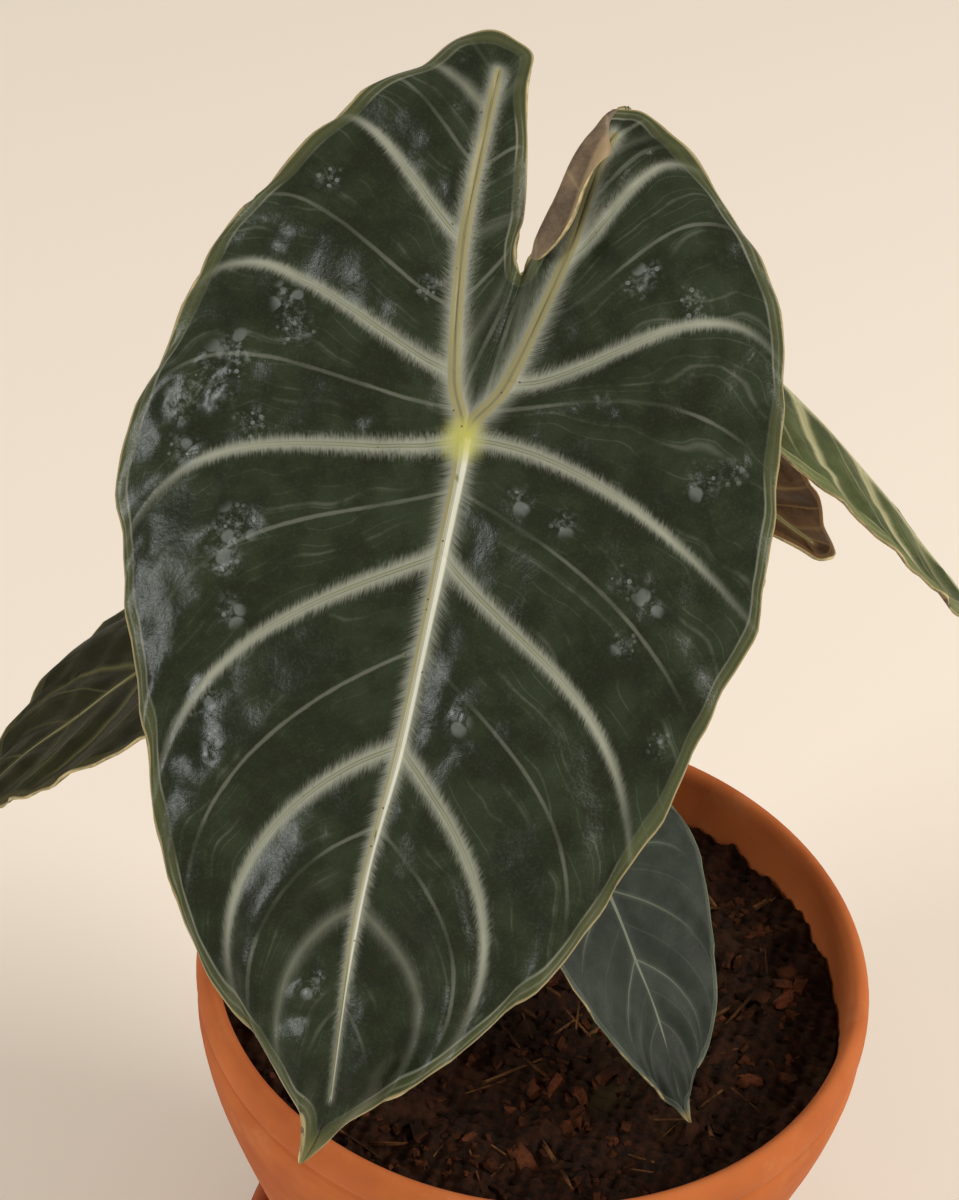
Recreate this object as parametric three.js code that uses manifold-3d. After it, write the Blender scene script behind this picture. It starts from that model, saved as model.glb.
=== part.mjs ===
// A potted aroid house plant: arrow-shaped leaves on long stalks, in a terracotta pot on a saucer.
// Millimetres, +Z up. The origin is the centre of the saucer's underside.
// The front leaf leans towards -Y, and +X is to its right.

import * as THREE from 'three';
import { mergeVertices } from 'three/addons/utils/BufferGeometryUtils.js';
import Module from 'manifold-3d';

// Driving dimensions

const GAP = 0.3;                  // clearance between two pieces that touch

const SAUCER = { floorRadius: 46, baseRadius: 52, rimRadius: 66.5, height: 22, floor: 5, wall: 4.5 };

const POT = {
  bottom: SAUCER.floor + GAP,
  rim: 135,                       // height of the lip's top above the ground
  baseRadius: 41,
  wall: 5,
  floor: 7,
  holeRadius: 7,                  // drainage hole
};

// outer wall of the pot as [radius, height above the ground], up to the crease below the lip
const POT_WALL = [[50.5, 35], [60, 60], [69, 85], [75.4, 105], [78.2, 119]];

const SOIL = { top: 122, lump: 2 };

const STEM = { x: -20, y: 12, radius: 11.8, top: 126, bottom: 92, holeSlack: GAP };

// stalks: radius at the foot and below the blade, and the ring that their feet stand on
const STALK = { foot: 3.7, neck: 2.0, ring: 7.2, sides: 10, steps: 14 };

// the blade is this thick, and its veins stand out of the underside as ribs
const BLADE = { thickness: 0.8, midrib: 1.3, sideRib: 0.5 };

// The leaf's outline and veins, at full size in the plane of the blade: the stalk meets the blade
// at 0, 0, the tip points to -y and the two lobes to +y. The ring runs once round the leaf in 24
// steps: 0 is the tip, 1 to 3 are side veins, 4 leaves the hub, 5 to 7 are the veins of a lobe,
// 8 is the lobe's end, 9 to 11 face the other lobe, 12 is the notch, and 13 to 23 come back down.

// each vein: where it leaves the main vein, and two points on its way to the margin
const VEINS = [
  [[3.0, -119.0], [2.6, -122.6], [1.8, -126.8]],
  [[0.4, -83.7], [-7.7, -93.0], [-9.6, -105.6]],
  [[1.4, -54.5], [-13.6, -67.4], [-21.5, -86.5]],
  [[0.9, -20.2], [-17.0, -31.9], [-33.4, -48.6]],
  [[0.0, 0.0], [-21.5, -5.7], [-42.3, -12.1]],
  [[-4.2, 10.9], [-22.4, 17.1], [-40.8, 22.5]],
  [[-8.2, 34.8], [-16.1, 40.2], [-26.9, 49.2]],
  [[-9.2, 58.5], [-12.8, 60.9], [-18.3, 64.2]],
  [[-9.4, 66.0], [-9.4, 68.0], [-9.5, 70.0]],
  [[-9.2, 58.5], [-7.6, 61.0], [-5.8, 64.6]],
  [[-8.2, 34.8], [-5.0, 37.0], [-1.6, 39.8]],
  [[-4.2, 10.9], [-2.6, 18.0], [0.2, 26.0]],
  [[0.0, 0.0], [0.8, 10.8], [2.1, 21.1]],
  [[5.4, 11.5], [4.8, 19.2], [4.6, 27.6]],
  [[10.4, 35.4], [8.0, 39.0], [5.8, 43.0]],
  [[12.2, 53.0], [10.4, 55.0], [8.8, 57.0]],
  [[13.6, 59.0], [14.2, 60.9], [14.9, 62.8]],
  [[12.2, 53.0], [14.8, 56.2], [18.6, 59.4]],
  [[10.4, 35.4], [15.7, 44.0], [21.4, 54.0]],
  [[5.4, 11.5], [20.3, 18.8], [36.1, 29.0]],
  [[0.0, 0.0], [17.4, -0.5], [37.3, -7.6]],
  [[0.9, -20.2], [19.2, -32.2], [34.9, -44.3]],
  [[1.4, -54.5], [13.8, -66.5], [23.6, -84.2]],
  [[0.4, -83.7], [10.2, -91.0], [15.2, -101.0]],
];

// the margin: place on the ring, x, y
const MARGIN = [
  [0, 0, -131.8], [0.3, -0.4, -127.0], [0.6, -1.3, -122.5], [1, -5.7, -118.0], [1.5, -10.6, -113.4],
  [2, -15.8, -108.1], [2.35, -24.5, -100.2], [2.7, -32.6, -88.6], [3, -39.2, -73.6],
  [3.3, -44.0, -61.2], [3.65, -50.2, -44.6], [4, -55.3, -31.8], [4.25, -58.8, -20.5],
  [4.5, -58.4, -9.0], [5, -53.6, 14.6], [5.4, -50.6, 26.0], [5.7, -42.8, 39.4], [6, -36.0, 50.7],
  [6.5, -29.4, 59.4], [7, -23.4, 64.6], [7.5, -16.4, 70.0], [8, -9.5, 71.8], [8.5, -4.6, 70.2],
  [9, -4.1, 65.0], [9.5, -1.0, 53.0], [10, 1.0, 41.6], [11, 1.4, 34.2], [12, 2.8, 31.0],
  [13, 4.2, 34.6], [13.5, 3.9, 40.0], [14, 4.0, 47.0], [15, 7.4, 58.8], [15.5, 11.0, 63.2],
  [16, 15.6, 64.5], [17, 23.1, 61.1], [18, 31.6, 56.2], [18.35, 38.4, 48.6], [18.7, 47.0, 38.6],
  [19, 52.8, 25.6], [19.35, 54.2, 12.0], [19.7, 57.0, -2.6], [20, 57.6, -20.6],
  [20.35, 54.4, -34.8], [20.7, 50.4, -51.8], [21, 46.1, -65.8], [21.35, 40.4, -79.6],
  [21.7, 31.6, -94.4], [22, 20.4, -108.2], [22.5, 16.4, -112.6], [23, 12.4, -117.0],
  [23.5, 5.6, -124.4], [23.75, 2.6, -128.8],
];

const RING = 24;
const TIP_REACH = 132;            // hub to tip at full size
const LOBE_REACH = 72;            // hub to the end of a lobe
const HALF_WIDTH = 55;

// The leaves. hub is where the stalk meets the blade, heading the compass direction of the tip
// (0 is +X, 90 is +Y), slope how far the tip hangs below level, bank the roll about the midrib,
// fold how far each half is raised, arch the droop of the margins, and tipBend and lobeBend the
// curl of the two ends. lobes shortens the lobes of a young leaf. foot is the direction of the
// stalk's foot on the stem, and lean moves the lower half of the stalk in x and y.
const LEAVES = {
  front: {
    hub: [-25.5, -67.7, 334.4], heading: -102, slope: 46.9, bank: 6, size: 1, width: 1, mirror: false,
    fold: 6, arch: 7, tipBend: 14, lobeBend: 14, quilt: 2.6, wave: 1.5, phase: 0.4, roll: true,
    foot: -100, lean: [0, 0], lobes: 1, columns: 4, rows: [0, 0.08, 0.2, 0.34, 0.48, 0.6, 0.71, 0.81, 0.9, 1],
  },
  left: {
    hub: [-54.7, -17.9, 257.9], heading: 201, slope: 23.6, bank: -17, size: 0.7, width: 0.95, mirror: true,
    fold: 4, arch: 3, tipBend: 20, lobeBend: 15, quilt: 2.2, wave: 1.5, phase: 1, roll: false,
    foot: -172, lean: [0, 0], lobes: 0.65, columns: 2, rows: [0, 0.15, 0.38, 0.62, 0.84, 1],
  },
  right: {
    hub: [24.6, -2.6, 314], heading: -27.2, slope: 22.7, bank: 52.6, size: 0.62, width: 0.9, mirror: false,
    fold: 0, arch: 3, tipBend: 20, lobeBend: 15, quilt: 2.2, wave: 1.5, phase: 2, roll: false,
    foot: 44, lean: [0, 0], lobes: 1, columns: 2, rows: [0, 0.15, 0.38, 0.62, 0.84, 1],
  },
  rear: {
    hub: [10.2, 34.6, 256.5], heading: 156, slope: 10, bank: 8, size: 0.7, width: 0.95, mirror: false,
    fold: -25, arch: 3, tipBend: 20, lobeBend: 33, quilt: 2.2, wave: 1.5, phase: 0.7, roll: false,
    foot: 116, lean: [0, 0], lobes: 1, columns: 2, rows: [0, 0.15, 0.38, 0.62, 0.84, 1],
  },
  small: {
    hub: [9.4, 0.3, 169.3], heading: -55.6, slope: 29.2, bank: 6.5, size: 0.5, width: 0.85, mirror: true,
    fold: 14, arch: 3, tipBend: 20, lobeBend: 15, quilt: 2, wave: 1, phase: 1, roll: false,
    foot: -28, lean: [0, 0], lobes: 0.45, columns: 2, rows: [0, 0.15, 0.38, 0.62, 0.84, 1],
  },
};

const COLOURS = {
  terracotta: 0xb5653a,
  saucer: 0x8a3f22,
  soil: 0x2b1d10,
  stem: 0x8b6a55,
  stalk: 0xb98a7c,
  frontBlade: 0x2a3a2c,
  sideBlade: 0x4c4f2c,
  rearBlade: 0x46301a,
  smallBlade: 0x5d675c,
};

const wasm = await Module();
wasm.setup();

const plant = new THREE.Group();

function addPiece(name, geometry, colour, roughness) {
  const material = new THREE.MeshStandardMaterial({ color: colour, roughness, metalness: 0 });
  const mesh = new THREE.Mesh(geometry, material);
  mesh.name = name;
  plant.add(mesh);
}

// Smooth curves through points

function curveThrough(a, b, c, d, u) {
  const mix = (i) => 0.5 * (2 * b[i] + (c[i] - a[i]) * u + (2 * a[i] - 5 * b[i] + 4 * c[i] - d[i]) * u * u
    + (3 * b[i] - a[i] - 3 * c[i] + d[i]) * u * u * u);
  return [mix(0), mix(1)];
}

function distance(a, b) {
  return Math.hypot(b[0] - a[0], b[1] - a[1]);
}

function smoothStep(low, high, value) {
  const u = Math.min(1, Math.max(0, (value - low) / (high - low)));
  return u * u * (3 - 2 * u);
}

// Leaf outline: a closed curve whose tangents follow the spacing of its points

function marginPoint(ring) {
  const s = ((ring % RING) + RING) % RING;
  const count = MARGIN.length;
  let i = count - 1;
  while (MARGIN[i][0] > s) {
    i -= 1;
  }
  const next = i + 1 < count ? MARGIN[i + 1][0] : RING;
  const u = (s - MARGIN[i][0]) / (next - MARGIN[i][0]);
  const [a, b, c, d] = [-1, 0, 1, 2].map((k) => MARGIN[(i + k + count) % count].slice(1));
  const [before, here, after] = [distance(a, b), distance(b, c), distance(c, d)];
  const point = [0, 0];
  for (const k of [0, 1]) {
    const slopeA = (b[k] - a[k]) / before;
    const slopeB = (c[k] - b[k]) / here;
    const slopeC = (d[k] - c[k]) / after;
    const leave = here * (slopeA * here + slopeB * before) / (before + here);
    const arrive = here * (slopeB * after + slopeC * here) / (here + after);
    point[k] = (2 * u ** 3 - 3 * u ** 2 + 1) * b[k] + (u ** 3 - 2 * u ** 2 + u) * leave
      + (3 * u ** 2 - 2 * u ** 3) * c[k] + (u ** 3 - u ** 2) * arrive;
  }
  return point;
}

// Main veins: the midrib from the tip to the hub, then one branch out along each lobe. Both sides
// of a main vein give the same points, so the two halves of the blade join on it.

function mainVeinPoint(ring) {
  const s = ((ring % RING) + RING) % RING;
  const rightLobe = s > 12 && s < 20;
  let along = s <= 8 ? s : Math.abs(16 - s);
  if (s > 12) {
    along = s < 16 ? s - 8 : RING - s;
  }
  const branch = rightLobe ? [19, 18, 17, 16] : [5, 6, 7, 8];
  const knots = [0, 1, 2, 3, 4, ...branch].map((k) => VEINS[k][0]);
  const i = Math.min(Math.floor(along), 7);
  const before = i > 0 ? knots[i - 1] : [2 * knots[0][0] - knots[1][0], 2 * knots[0][1] - knots[1][1]];
  const after = i < 7 ? knots[i + 2] : [2 * knots[8][0] - knots[7][0], 2 * knots[8][1] - knots[7][1]];
  return curveThrough(before, knots[i], knots[i + 1], after, along - i);
}

// One vein from its main vein (t = 0) to the margin (t = 1)

function veinPoint(index, t) {
  const k = ((index % RING) + RING) % RING;
  const points = [...VEINS[k], marginPoint(k)];
  const weights = [
    -4.5 * (t - 1 / 3) * (t - 2 / 3) * (t - 1),
    13.5 * t * (t - 2 / 3) * (t - 1),
    -13.5 * t * (t - 1 / 3) * (t - 1),
    4.5 * t * (t - 1 / 3) * (t - 2 / 3),
  ];
  return [0, 1].map((axis) => points.reduce((sum, point, j) => sum + point[axis] * weights[j], 0));
}

// Any point of the flat blade, from its place on the ring and its way out from the main vein

function flatPoint(ring, t) {
  const k = Math.floor(ring);
  const blend = (v) => curveThrough(
    veinPoint(k - 1, v),
    veinPoint(k, v),
    veinPoint(k + 1, v),
    veinPoint(k + 2, v),
    ring - k,
  );
  const here = blend(t);
  const root = blend(0);
  const end = blend(1);
  const vein = mainVeinPoint(ring);
  const margin = marginPoint(ring);
  return [0, 1].map((i) => here[i] + (1 - t) * (vein[i] - root[i]) + t * (margin[i] - end[i]));
}

// The front leaf's right lobe has its inner margin rolled up and back towards the main vein, which
// shows the underside. Between these places on the ring the blade turns over at a share of its
// width, and is longer than its outline by the rest of the flap.

const ROLL = { share: 0.52, radius: 1.1, angle: 2.9, flap: 3, from: 12.9, full: 13.9, fade: 15.4, to: 16 };

function rollStrength(ring) {
  return smoothStep(ROLL.from, ROLL.full, ring) * (1 - smoothStep(ROLL.fade, ROLL.to, ring));
}

// distance from the right lobe's main vein, square to it
function widthBesideVein(vein, margin) {
  const [alongX, alongY] = VEINS[16][0];
  const length = Math.hypot(alongX, alongY);
  return Math.abs((margin[0] - vein[0]) * alongY - (margin[1] - vein[1]) * alongX) / length;
}

function rolledPoint(ring, t) {
  const strength = rollStrength(ring);
  if (strength <= 0) {
    return [...flatPoint(ring, t), 0];
  }
  const vein = mainVeinPoint(ring);
  const margin = marginPoint(ring);
  const width = widthBesideVein(vein, margin);
  const radius = Math.min(ROLL.radius, width * 0.14);
  const straight = width * (1 - (1 - ROLL.share) * strength);
  const along = t * (width + ROLL.flap * strength);
  const past = along - straight;
  if (past <= 0) {
    return [...flatPoint(ring, along / width), 0];
  }
  const angle = Math.min(past / radius, ROLL.angle * strength);
  const rest = past - angle * radius;
  const out = (straight + radius * Math.sin(angle) + rest * Math.cos(angle)) / width;
  const up = radius * (1 - Math.cos(angle)) + rest * Math.sin(angle);
  return [...flatPoint(ring, out), up];
}

// Directions of one leaf: x across, y from tip to lobes, and the blade's upper face

function leafAxes(leaf) {
  const heading = THREE.MathUtils.degToRad(leaf.heading);
  const slope = THREE.MathUtils.degToRad(leaf.slope);
  const bank = THREE.MathUtils.degToRad(leaf.bank);
  const level = new THREE.Vector3(Math.cos(heading), Math.sin(heading), 0);
  const y = level.clone().multiplyScalar(-Math.cos(slope)).add(new THREE.Vector3(0, 0, Math.sin(slope)));
  const face = level.clone().multiplyScalar(Math.sin(slope)).add(new THREE.Vector3(0, 0, Math.cos(slope)));
  const x = new THREE.Vector3().crossVectors(y, face);
  const banked = face.clone().multiplyScalar(Math.cos(bank)).addScaledVector(x, Math.sin(bank));
  x.multiplyScalar(Math.cos(bank)).addScaledVector(face, -Math.sin(bank));
  return { x, y, face: banked };
}

// The blade in space: raised halves, drooping margins, pillows between the veins, a waved edge,
// and both ends bent down

function bladePoint(leaf, axes, ring, t) {
  const size = leaf.size;
  const [flatX, flatY, up] = leaf.roll ? rolledPoint(ring, t) : [...flatPoint(ring, t), 0];
  const across = flatX * size * leaf.width * (leaf.mirror ? -1 : 1);
  const along = flatY * size * (flatY > 0 ? leaf.lobes : 1);
  const fold = THREE.MathUtils.degToRad(leaf.fold);
  const valley = 3 * size;
  const reach = Math.min(1, distance(mainVeinPoint(ring), marginPoint(ring)) / 25);
  const pillow = Math.sin(Math.PI * ring) ** 2 * (4 * t * (1 - t)) ** 0.7 * reach;
  const height = (Math.hypot(across, valley) - valley) * Math.sin(fold)
    - leaf.arch * size * (across / (HALF_WIDTH * size)) ** 2
    + leaf.quilt * size * pillow
    + leaf.wave * size * Math.sin(2 * Math.PI * ring * 0.37 + leaf.phase) * t ** 3
    + up * size;
  const reachAlong = along < 0 ? TIP_REACH : LOBE_REACH;
  const bend = THREE.MathUtils.degToRad(along < 0 ? leaf.tipBend : leaf.lobeBend) / (reachAlong * size);
  const turn = along * bend;
  return new THREE.Vector3(...leaf.hub)
    .addScaledVector(axes.x, across * Math.cos(fold))
    .addScaledVector(axes.y, Math.sin(turn) / bend + height * Math.sin(turn))
    .addScaledVector(axes.face, (Math.cos(turn) - 1) / bend + height * Math.cos(turn));
}

// How far the ribs stand out of the underside

function ribHeight(leaf, ring, t) {
  const taper = smoothStep(0, 2.5, Math.min(ring % RING, RING - (ring % RING)));
  const main = BLADE.midrib * (0.25 + 0.75 * taper) * (t < 0.01 ? 1 : 0);
  const onVein = Math.abs(ring - Math.round(ring)) < 0.01 && (ring < 8 || ring > 16);
  const side = onVein && t > 0.01 ? BLADE.sideRib * (1 - t) : 0;
  return leaf.size * Math.max(main, side);
}

// A blade: the middle surface as a grid round the leaf, welded along the main veins, then given
// its thickness, with the margin closed by a band

function bladeGeometry(leaf) {
  const axes = leafAxes(leaf);
  const columns = RING * leaf.columns;
  const rows = leaf.rows.length;
  const points = [];
  const ribs = [];
  for (let i = 0; i < columns; i += 1) {
    for (const t of leaf.rows) {
      const ring = i / leaf.columns;
      points.push(bladePoint(leaf, axes, ring, t));
      ribs.push(ribHeight(leaf, ring, t));
    }
  }

  // the same place on both sides of a main vein is one vertex
  const vertexAt = new Map();
  const vertexOf = [];
  const kept = [];
  points.forEach((point, i) => {
    const key = point.toArray().map((value) => Math.round(value * 1000)).join(' ');
    if (!vertexAt.has(key)) {
      vertexAt.set(key, kept.length);
      kept.push({ point, rib: ribs[i] });
    }
    vertexOf.push(vertexAt.get(key));
  });

  const faces = [];
  const addFace = (a, b, c) => {
    if (a !== b && b !== c && c !== a) {
      faces.push(leaf.mirror ? [a, b, c] : [a, c, b]);
    }
  };
  for (let i = 0; i < columns; i += 1) {
    for (let j = 0; j < rows - 1; j += 1) {
      const a = vertexOf[i * rows + j];
      const b = vertexOf[i * rows + j + 1];
      const c = vertexOf[((i + 1) % columns) * rows + j + 1];
      const d = vertexOf[((i + 1) % columns) * rows + j];
      addFace(a, b, c);
      addFace(a, c, d);
    }
  }

  const normals = kept.map(() => new THREE.Vector3());
  for (const [a, b, c] of faces) {
    const ab = kept[b].point.clone().sub(kept[a].point);
    const ac = kept[c].point.clone().sub(kept[a].point);
    const normal = ab.cross(ac);
    [a, b, c].forEach((v) => normals[v].add(normal));
  }

  const positions = [];
  const half = BLADE.thickness / 2;
  kept.forEach(({ point }, i) => {
    positions.push(...point.clone().addScaledVector(normals[i].normalize(), half).toArray());
  });
  kept.forEach(({ point, rib }, i) => {
    positions.push(...point.clone().addScaledVector(normals[i], -half - rib).toArray());
  });

  const under = kept.length;
  const indices = [];
  for (const [a, b, c] of faces) {
    indices.push(a, b, c, under + a, under + c, under + b);
  }
  for (let i = 0; i < columns; i += 1) {
    const a = vertexOf[i * rows + rows - 1];
    const b = vertexOf[((i + 1) % columns) * rows + rows - 1];
    const [first, second] = leaf.mirror ? [b, a] : [a, b];
    indices.push(first, second, under + second, first, under + second, under + first);
  }
  const geometry = new THREE.BufferGeometry();
  geometry.setAttribute('position', new THREE.Float32BufferAttribute(positions, 3));
  geometry.setIndex(indices);
  geometry.computeVertexNormals();
  return geometry;
}

// A stalk: a tapered cylinder bent along a curve from the stem's top to the blade's underside

function stalkCurve(leaf) {
  const axes = leafAxes(leaf);
  const foot = THREE.MathUtils.degToRad(leaf.foot);
  const out = new THREE.Vector3(Math.cos(foot), Math.sin(foot), 0);
  const start = new THREE.Vector3(STEM.x, STEM.y, STEM.top + GAP).addScaledVector(out, STALK.ring);
  const droop = STALK.neck * Math.abs(Math.sin(THREE.MathUtils.degToRad(leaf.fold)));
  const under = BLADE.thickness / 2 + BLADE.midrib * leaf.size + droop + GAP;
  const end = new THREE.Vector3(...leaf.hub).addScaledVector(axes.face, -under);
  const span = start.distanceTo(end);
  const rise = start.clone().add(new THREE.Vector3(leaf.lean[0], leaf.lean[1], span * 0.35));
  const arrive = end.clone().addScaledVector(axes.face, -span * 0.22);
  return new THREE.CubicBezierCurve3(start, rise, arrive, end);
}

function stalkGeometry(leaf) {
  const curve = stalkCurve(leaf);
  const frames = curve.computeFrenetFrames(STALK.steps, false);
  const geometry = new THREE.CylinderGeometry(1, 1, 1, STALK.sides, STALK.steps);
  const position = geometry.attributes.position;
  const scale = 0.55 + 0.45 * leaf.size;
  for (let i = 0; i < position.count; i += 1) {
    const u = position.getY(i) + 0.5;
    const step = Math.round(u * STALK.steps);
    const radius = scale * (STALK.neck + (STALK.foot - STALK.neck) * (1 - u) ** 1.6);
    const centre = curve.getPointAt(u);
    centre.addScaledVector(frames.normals[step], radius * position.getX(i));
    centre.addScaledVector(frames.binormals[step], -radius * position.getZ(i));
    position.setXYZ(i, centre.x, centre.y, centre.z);
  }
  geometry.deleteAttribute('normal');
  geometry.deleteAttribute('uv');
  const closed = mergeVertices(geometry, 0.001);
  closed.computeVertexNormals();
  return closed;
}

// Terracotta: closed profiles turned about the Z axis

function turned(profile, segments) {
  const geometry = new THREE.LatheGeometry(profile.map(([r, z]) => new THREE.Vector2(r, z)), segments);
  geometry.rotateX(Math.PI / 2);
  return geometry;
}

function saucerGeometry() {
  const { floorRadius, baseRadius, rimRadius, height, floor, wall } = SAUCER;
  const profile = [
    [0, 0],
    [baseRadius - 2, 0],
    [baseRadius, 1.5],
    [rimRadius - 5, height * 0.55],
    [rimRadius - 1, height - 3.5],
    [rimRadius, height - 1.6],
    [rimRadius - 1, height - 0.3],
    [rimRadius - wall / 2, height],
    [rimRadius - wall + 0.4, height - 1],
    [rimRadius - wall - 0.4, height - 3],
    [rimRadius - wall - 5, height * 0.55],
    [floorRadius + 3, floor + 1.2],
    [floorRadius, floor],
    [0, floor],
  ];
  return turned(profile, 56);
}

function potGeometry() {
  const { bottom, rim, baseRadius, wall, floor, holeRadius } = POT;
  const inner = POT_WALL.map(([r, z]) => [r - wall, z]).reverse();
  const profile = [
    [holeRadius, bottom],
    [baseRadius - 1.5, bottom],
    [baseRadius, bottom + 1.5],
    ...POT_WALL,
    [77.9, 123.4],
    [76.9, 124.6],
    [78.3, 126.2],
    [78.7, 129.6],
    [77.9, 133.2],
    [76.2, rim],
    [74.4, 134],
    [73.7, 131.4],
    ...inner,
    [baseRadius - wall + 1.5, bottom + floor + 2],
    [baseRadius - wall - 1, bottom + floor],
    [holeRadius, bottom + floor],
    [holeRadius, bottom],
  ];
  return turned(profile, 56);
}

// Height of the soil's surface: a low mound of lumps and crumbs

function soilHeight(x, y) {
  const lumps = Math.sin(x * 0.21 + 1.3) * Math.cos(y * 0.17 - 0.4) + 0.7 * Math.sin(x * 0.37 - y * 0.31);
  const crumbs = Math.sin(x * 1.13 + y * 0.71) * Math.sin(y * 1.27 - x * 0.55);
  return SOIL.top + SOIL.lump * (0.5 * lumps + 0.45 * crumbs) - 0.0005 * (x * x + y * y);
}

// The soil's side follows the inside of the pot

function potInnerRadius(z) {
  const { bottom, baseRadius, wall, floor } = POT;
  const knots = [[baseRadius - wall - 1, bottom + floor], [baseRadius - wall + 1.5, bottom + floor + 2],
    ...POT_WALL.map(([r, h]) => [r - wall, h])];
  let i = 0;
  while (i < knots.length - 2 && knots[i + 1][1] < z) {
    i += 1;
  }
  const [[r0, z0], [r1, z1]] = [knots[i], knots[i + 1]];
  return r0 + (r1 - r0) * (z - z0) / (z1 - z0);
}

function stemProfile(slack) {
  const { radius, top, bottom } = STEM;
  return [
    [0, bottom - slack],
    [radius * 0.45 + slack, bottom - slack],
    [radius * 0.9 + slack, bottom + 7],
    [radius + slack, bottom + 16],
    [radius + slack, top - 3],
    [radius + slack, top - 1],
    [radius - 1.2 + slack, top],
    [0, top],
  ];
}

function toManifold(geometry) {
  const bare = geometry.clone();
  bare.deleteAttribute('normal');
  bare.deleteAttribute('uv');
  const merged = mergeVertices(bare, 0.0005);
  const mesh = new wasm.Mesh({
    numProp: 3,
    vertProperties: new Float32Array(merged.attributes.position.array),
    triVerts: new Uint32Array(merged.index.array),
  });
  return new wasm.Manifold(mesh);
}

function fromManifold(solid) {
  const mesh = solid.getMesh();
  const geometry = new THREE.BufferGeometry();
  geometry.setAttribute('position', new THREE.Float32BufferAttribute(mesh.vertProperties, 3));
  geometry.setIndex(Array.from(mesh.triVerts));
  geometry.computeVertexNormals();
  return geometry;
}

function soilGeometry() {
  const base = POT.bottom + POT.floor + GAP;
  const levels = [base, base + 2, 35, 60, 85, 105];
  const side = levels.map((z) => [potInnerRadius(z) - GAP * 1.6, z]);
  const rings = [71.6, 66, 59, 52, 45, 38, 31, 24, 17, 10, 4];
  const profile = [[0, base], ...side, ...rings.map((r) => [r, SOIL.top - 1.5]), [0, SOIL.top - 1.5]];
  const geometry = turned(profile, 48);
  const position = geometry.attributes.position;
  for (let i = 0; i < position.count; i += 1) {
    if (position.getZ(i) > 110) {
      const [x, y] = [position.getX(i), position.getY(i)];
      position.setZ(i, soilHeight(x, y));
    }
  }
  const stemHole = turned([...stemProfile(STEM.holeSlack).slice(0, -2),
    [STEM.radius + STEM.holeSlack, STEM.top + 20], [0, STEM.top + 20]], 20);
  stemHole.translate(STEM.x, STEM.y, 0);
  return fromManifold(toManifold(geometry).subtract(toManifold(stemHole)));
}

function stemGeometry() {
  const geometry = turned(stemProfile(0), 20);
  geometry.translate(STEM.x, STEM.y, 0);
  return geometry;
}

// The plant, from the ground up

addPiece('saucer', saucerGeometry(), COLOURS.saucer, 0.85);
addPiece('pot', potGeometry(), COLOURS.terracotta, 0.85);
addPiece('soil', soilGeometry(), COLOURS.soil, 1);
addPiece('stem_base', stemGeometry(), COLOURS.stem, 0.6);
const bladeColours = {
  front: COLOURS.frontBlade,
  left: COLOURS.sideBlade,
  right: COLOURS.sideBlade,
  rear: COLOURS.rearBlade,
  small: COLOURS.smallBlade,
};
for (const [name, leaf] of Object.entries(LEAVES)) {
  addPiece(`petiole_${name}`, stalkGeometry(leaf), COLOURS.stalk, 0.45);
  addPiece(`blade_${name}`, bladeGeometry(leaf), bladeColours[name], 0.35);
}

export default plant;
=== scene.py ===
import math

import bpy
import numpy as np
from mathutils import Matrix, Vector


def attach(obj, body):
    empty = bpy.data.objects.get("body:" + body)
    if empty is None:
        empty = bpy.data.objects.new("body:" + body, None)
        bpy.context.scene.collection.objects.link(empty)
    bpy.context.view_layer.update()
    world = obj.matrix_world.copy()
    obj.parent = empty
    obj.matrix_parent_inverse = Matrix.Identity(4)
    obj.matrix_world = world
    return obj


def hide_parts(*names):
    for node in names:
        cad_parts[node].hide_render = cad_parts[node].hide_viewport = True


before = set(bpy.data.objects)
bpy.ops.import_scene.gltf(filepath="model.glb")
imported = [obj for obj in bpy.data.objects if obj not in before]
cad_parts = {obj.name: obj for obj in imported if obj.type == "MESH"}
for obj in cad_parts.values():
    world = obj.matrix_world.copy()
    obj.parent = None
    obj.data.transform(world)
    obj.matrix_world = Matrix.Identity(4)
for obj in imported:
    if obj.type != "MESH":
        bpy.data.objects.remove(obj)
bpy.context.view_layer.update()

# Camera: a long lens, looking 40 degrees down at the front leaf, and turned a little about its
# own axis, as the lip's ellipse in the photo shows.

CAMERA_PLACE = Vector((-0.0201, -0.5359, 0.6945))
CAMERA_DOWN = math.radians(40.3)
CAMERA_ROLL = math.radians(5.0)
FOCAL_PIXELS = 3308
FRAME_HEIGHT = 1200

forward = Vector((0, math.cos(CAMERA_DOWN), -math.sin(CAMERA_DOWN)))
level_right = Vector((1, 0, 0))
level_up = Vector((0, math.sin(CAMERA_DOWN), math.cos(CAMERA_DOWN)))
right = level_right * math.cos(CAMERA_ROLL) + level_up * math.sin(CAMERA_ROLL)
up = level_up * math.cos(CAMERA_ROLL) - level_right * math.sin(CAMERA_ROLL)

lens = bpy.data.cameras.new("camera")
lens.sensor_width = 36
lens.lens = FOCAL_PIXELS / FRAME_HEIGHT * 36
camera = bpy.data.objects.new("camera", lens)
camera.matrix_world = Matrix((
    (right.x, up.x, -forward.x, CAMERA_PLACE.x),
    (right.y, up.y, -forward.y, CAMERA_PLACE.y),
    (right.z, up.z, -forward.z, CAMERA_PLACE.z),
    (0, 0, 0, 1),
))
bpy.context.scene.collection.objects.link(camera)
bpy.context.scene.camera = camera
bpy.context.scene.view_settings.view_transform = "Standard"

# Saucer: thrown terracotta, redder and a little damper than the pot, turned on the wheel with a
# rolled rim. The pot stands in it, and it stands on its flat underside.

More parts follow.
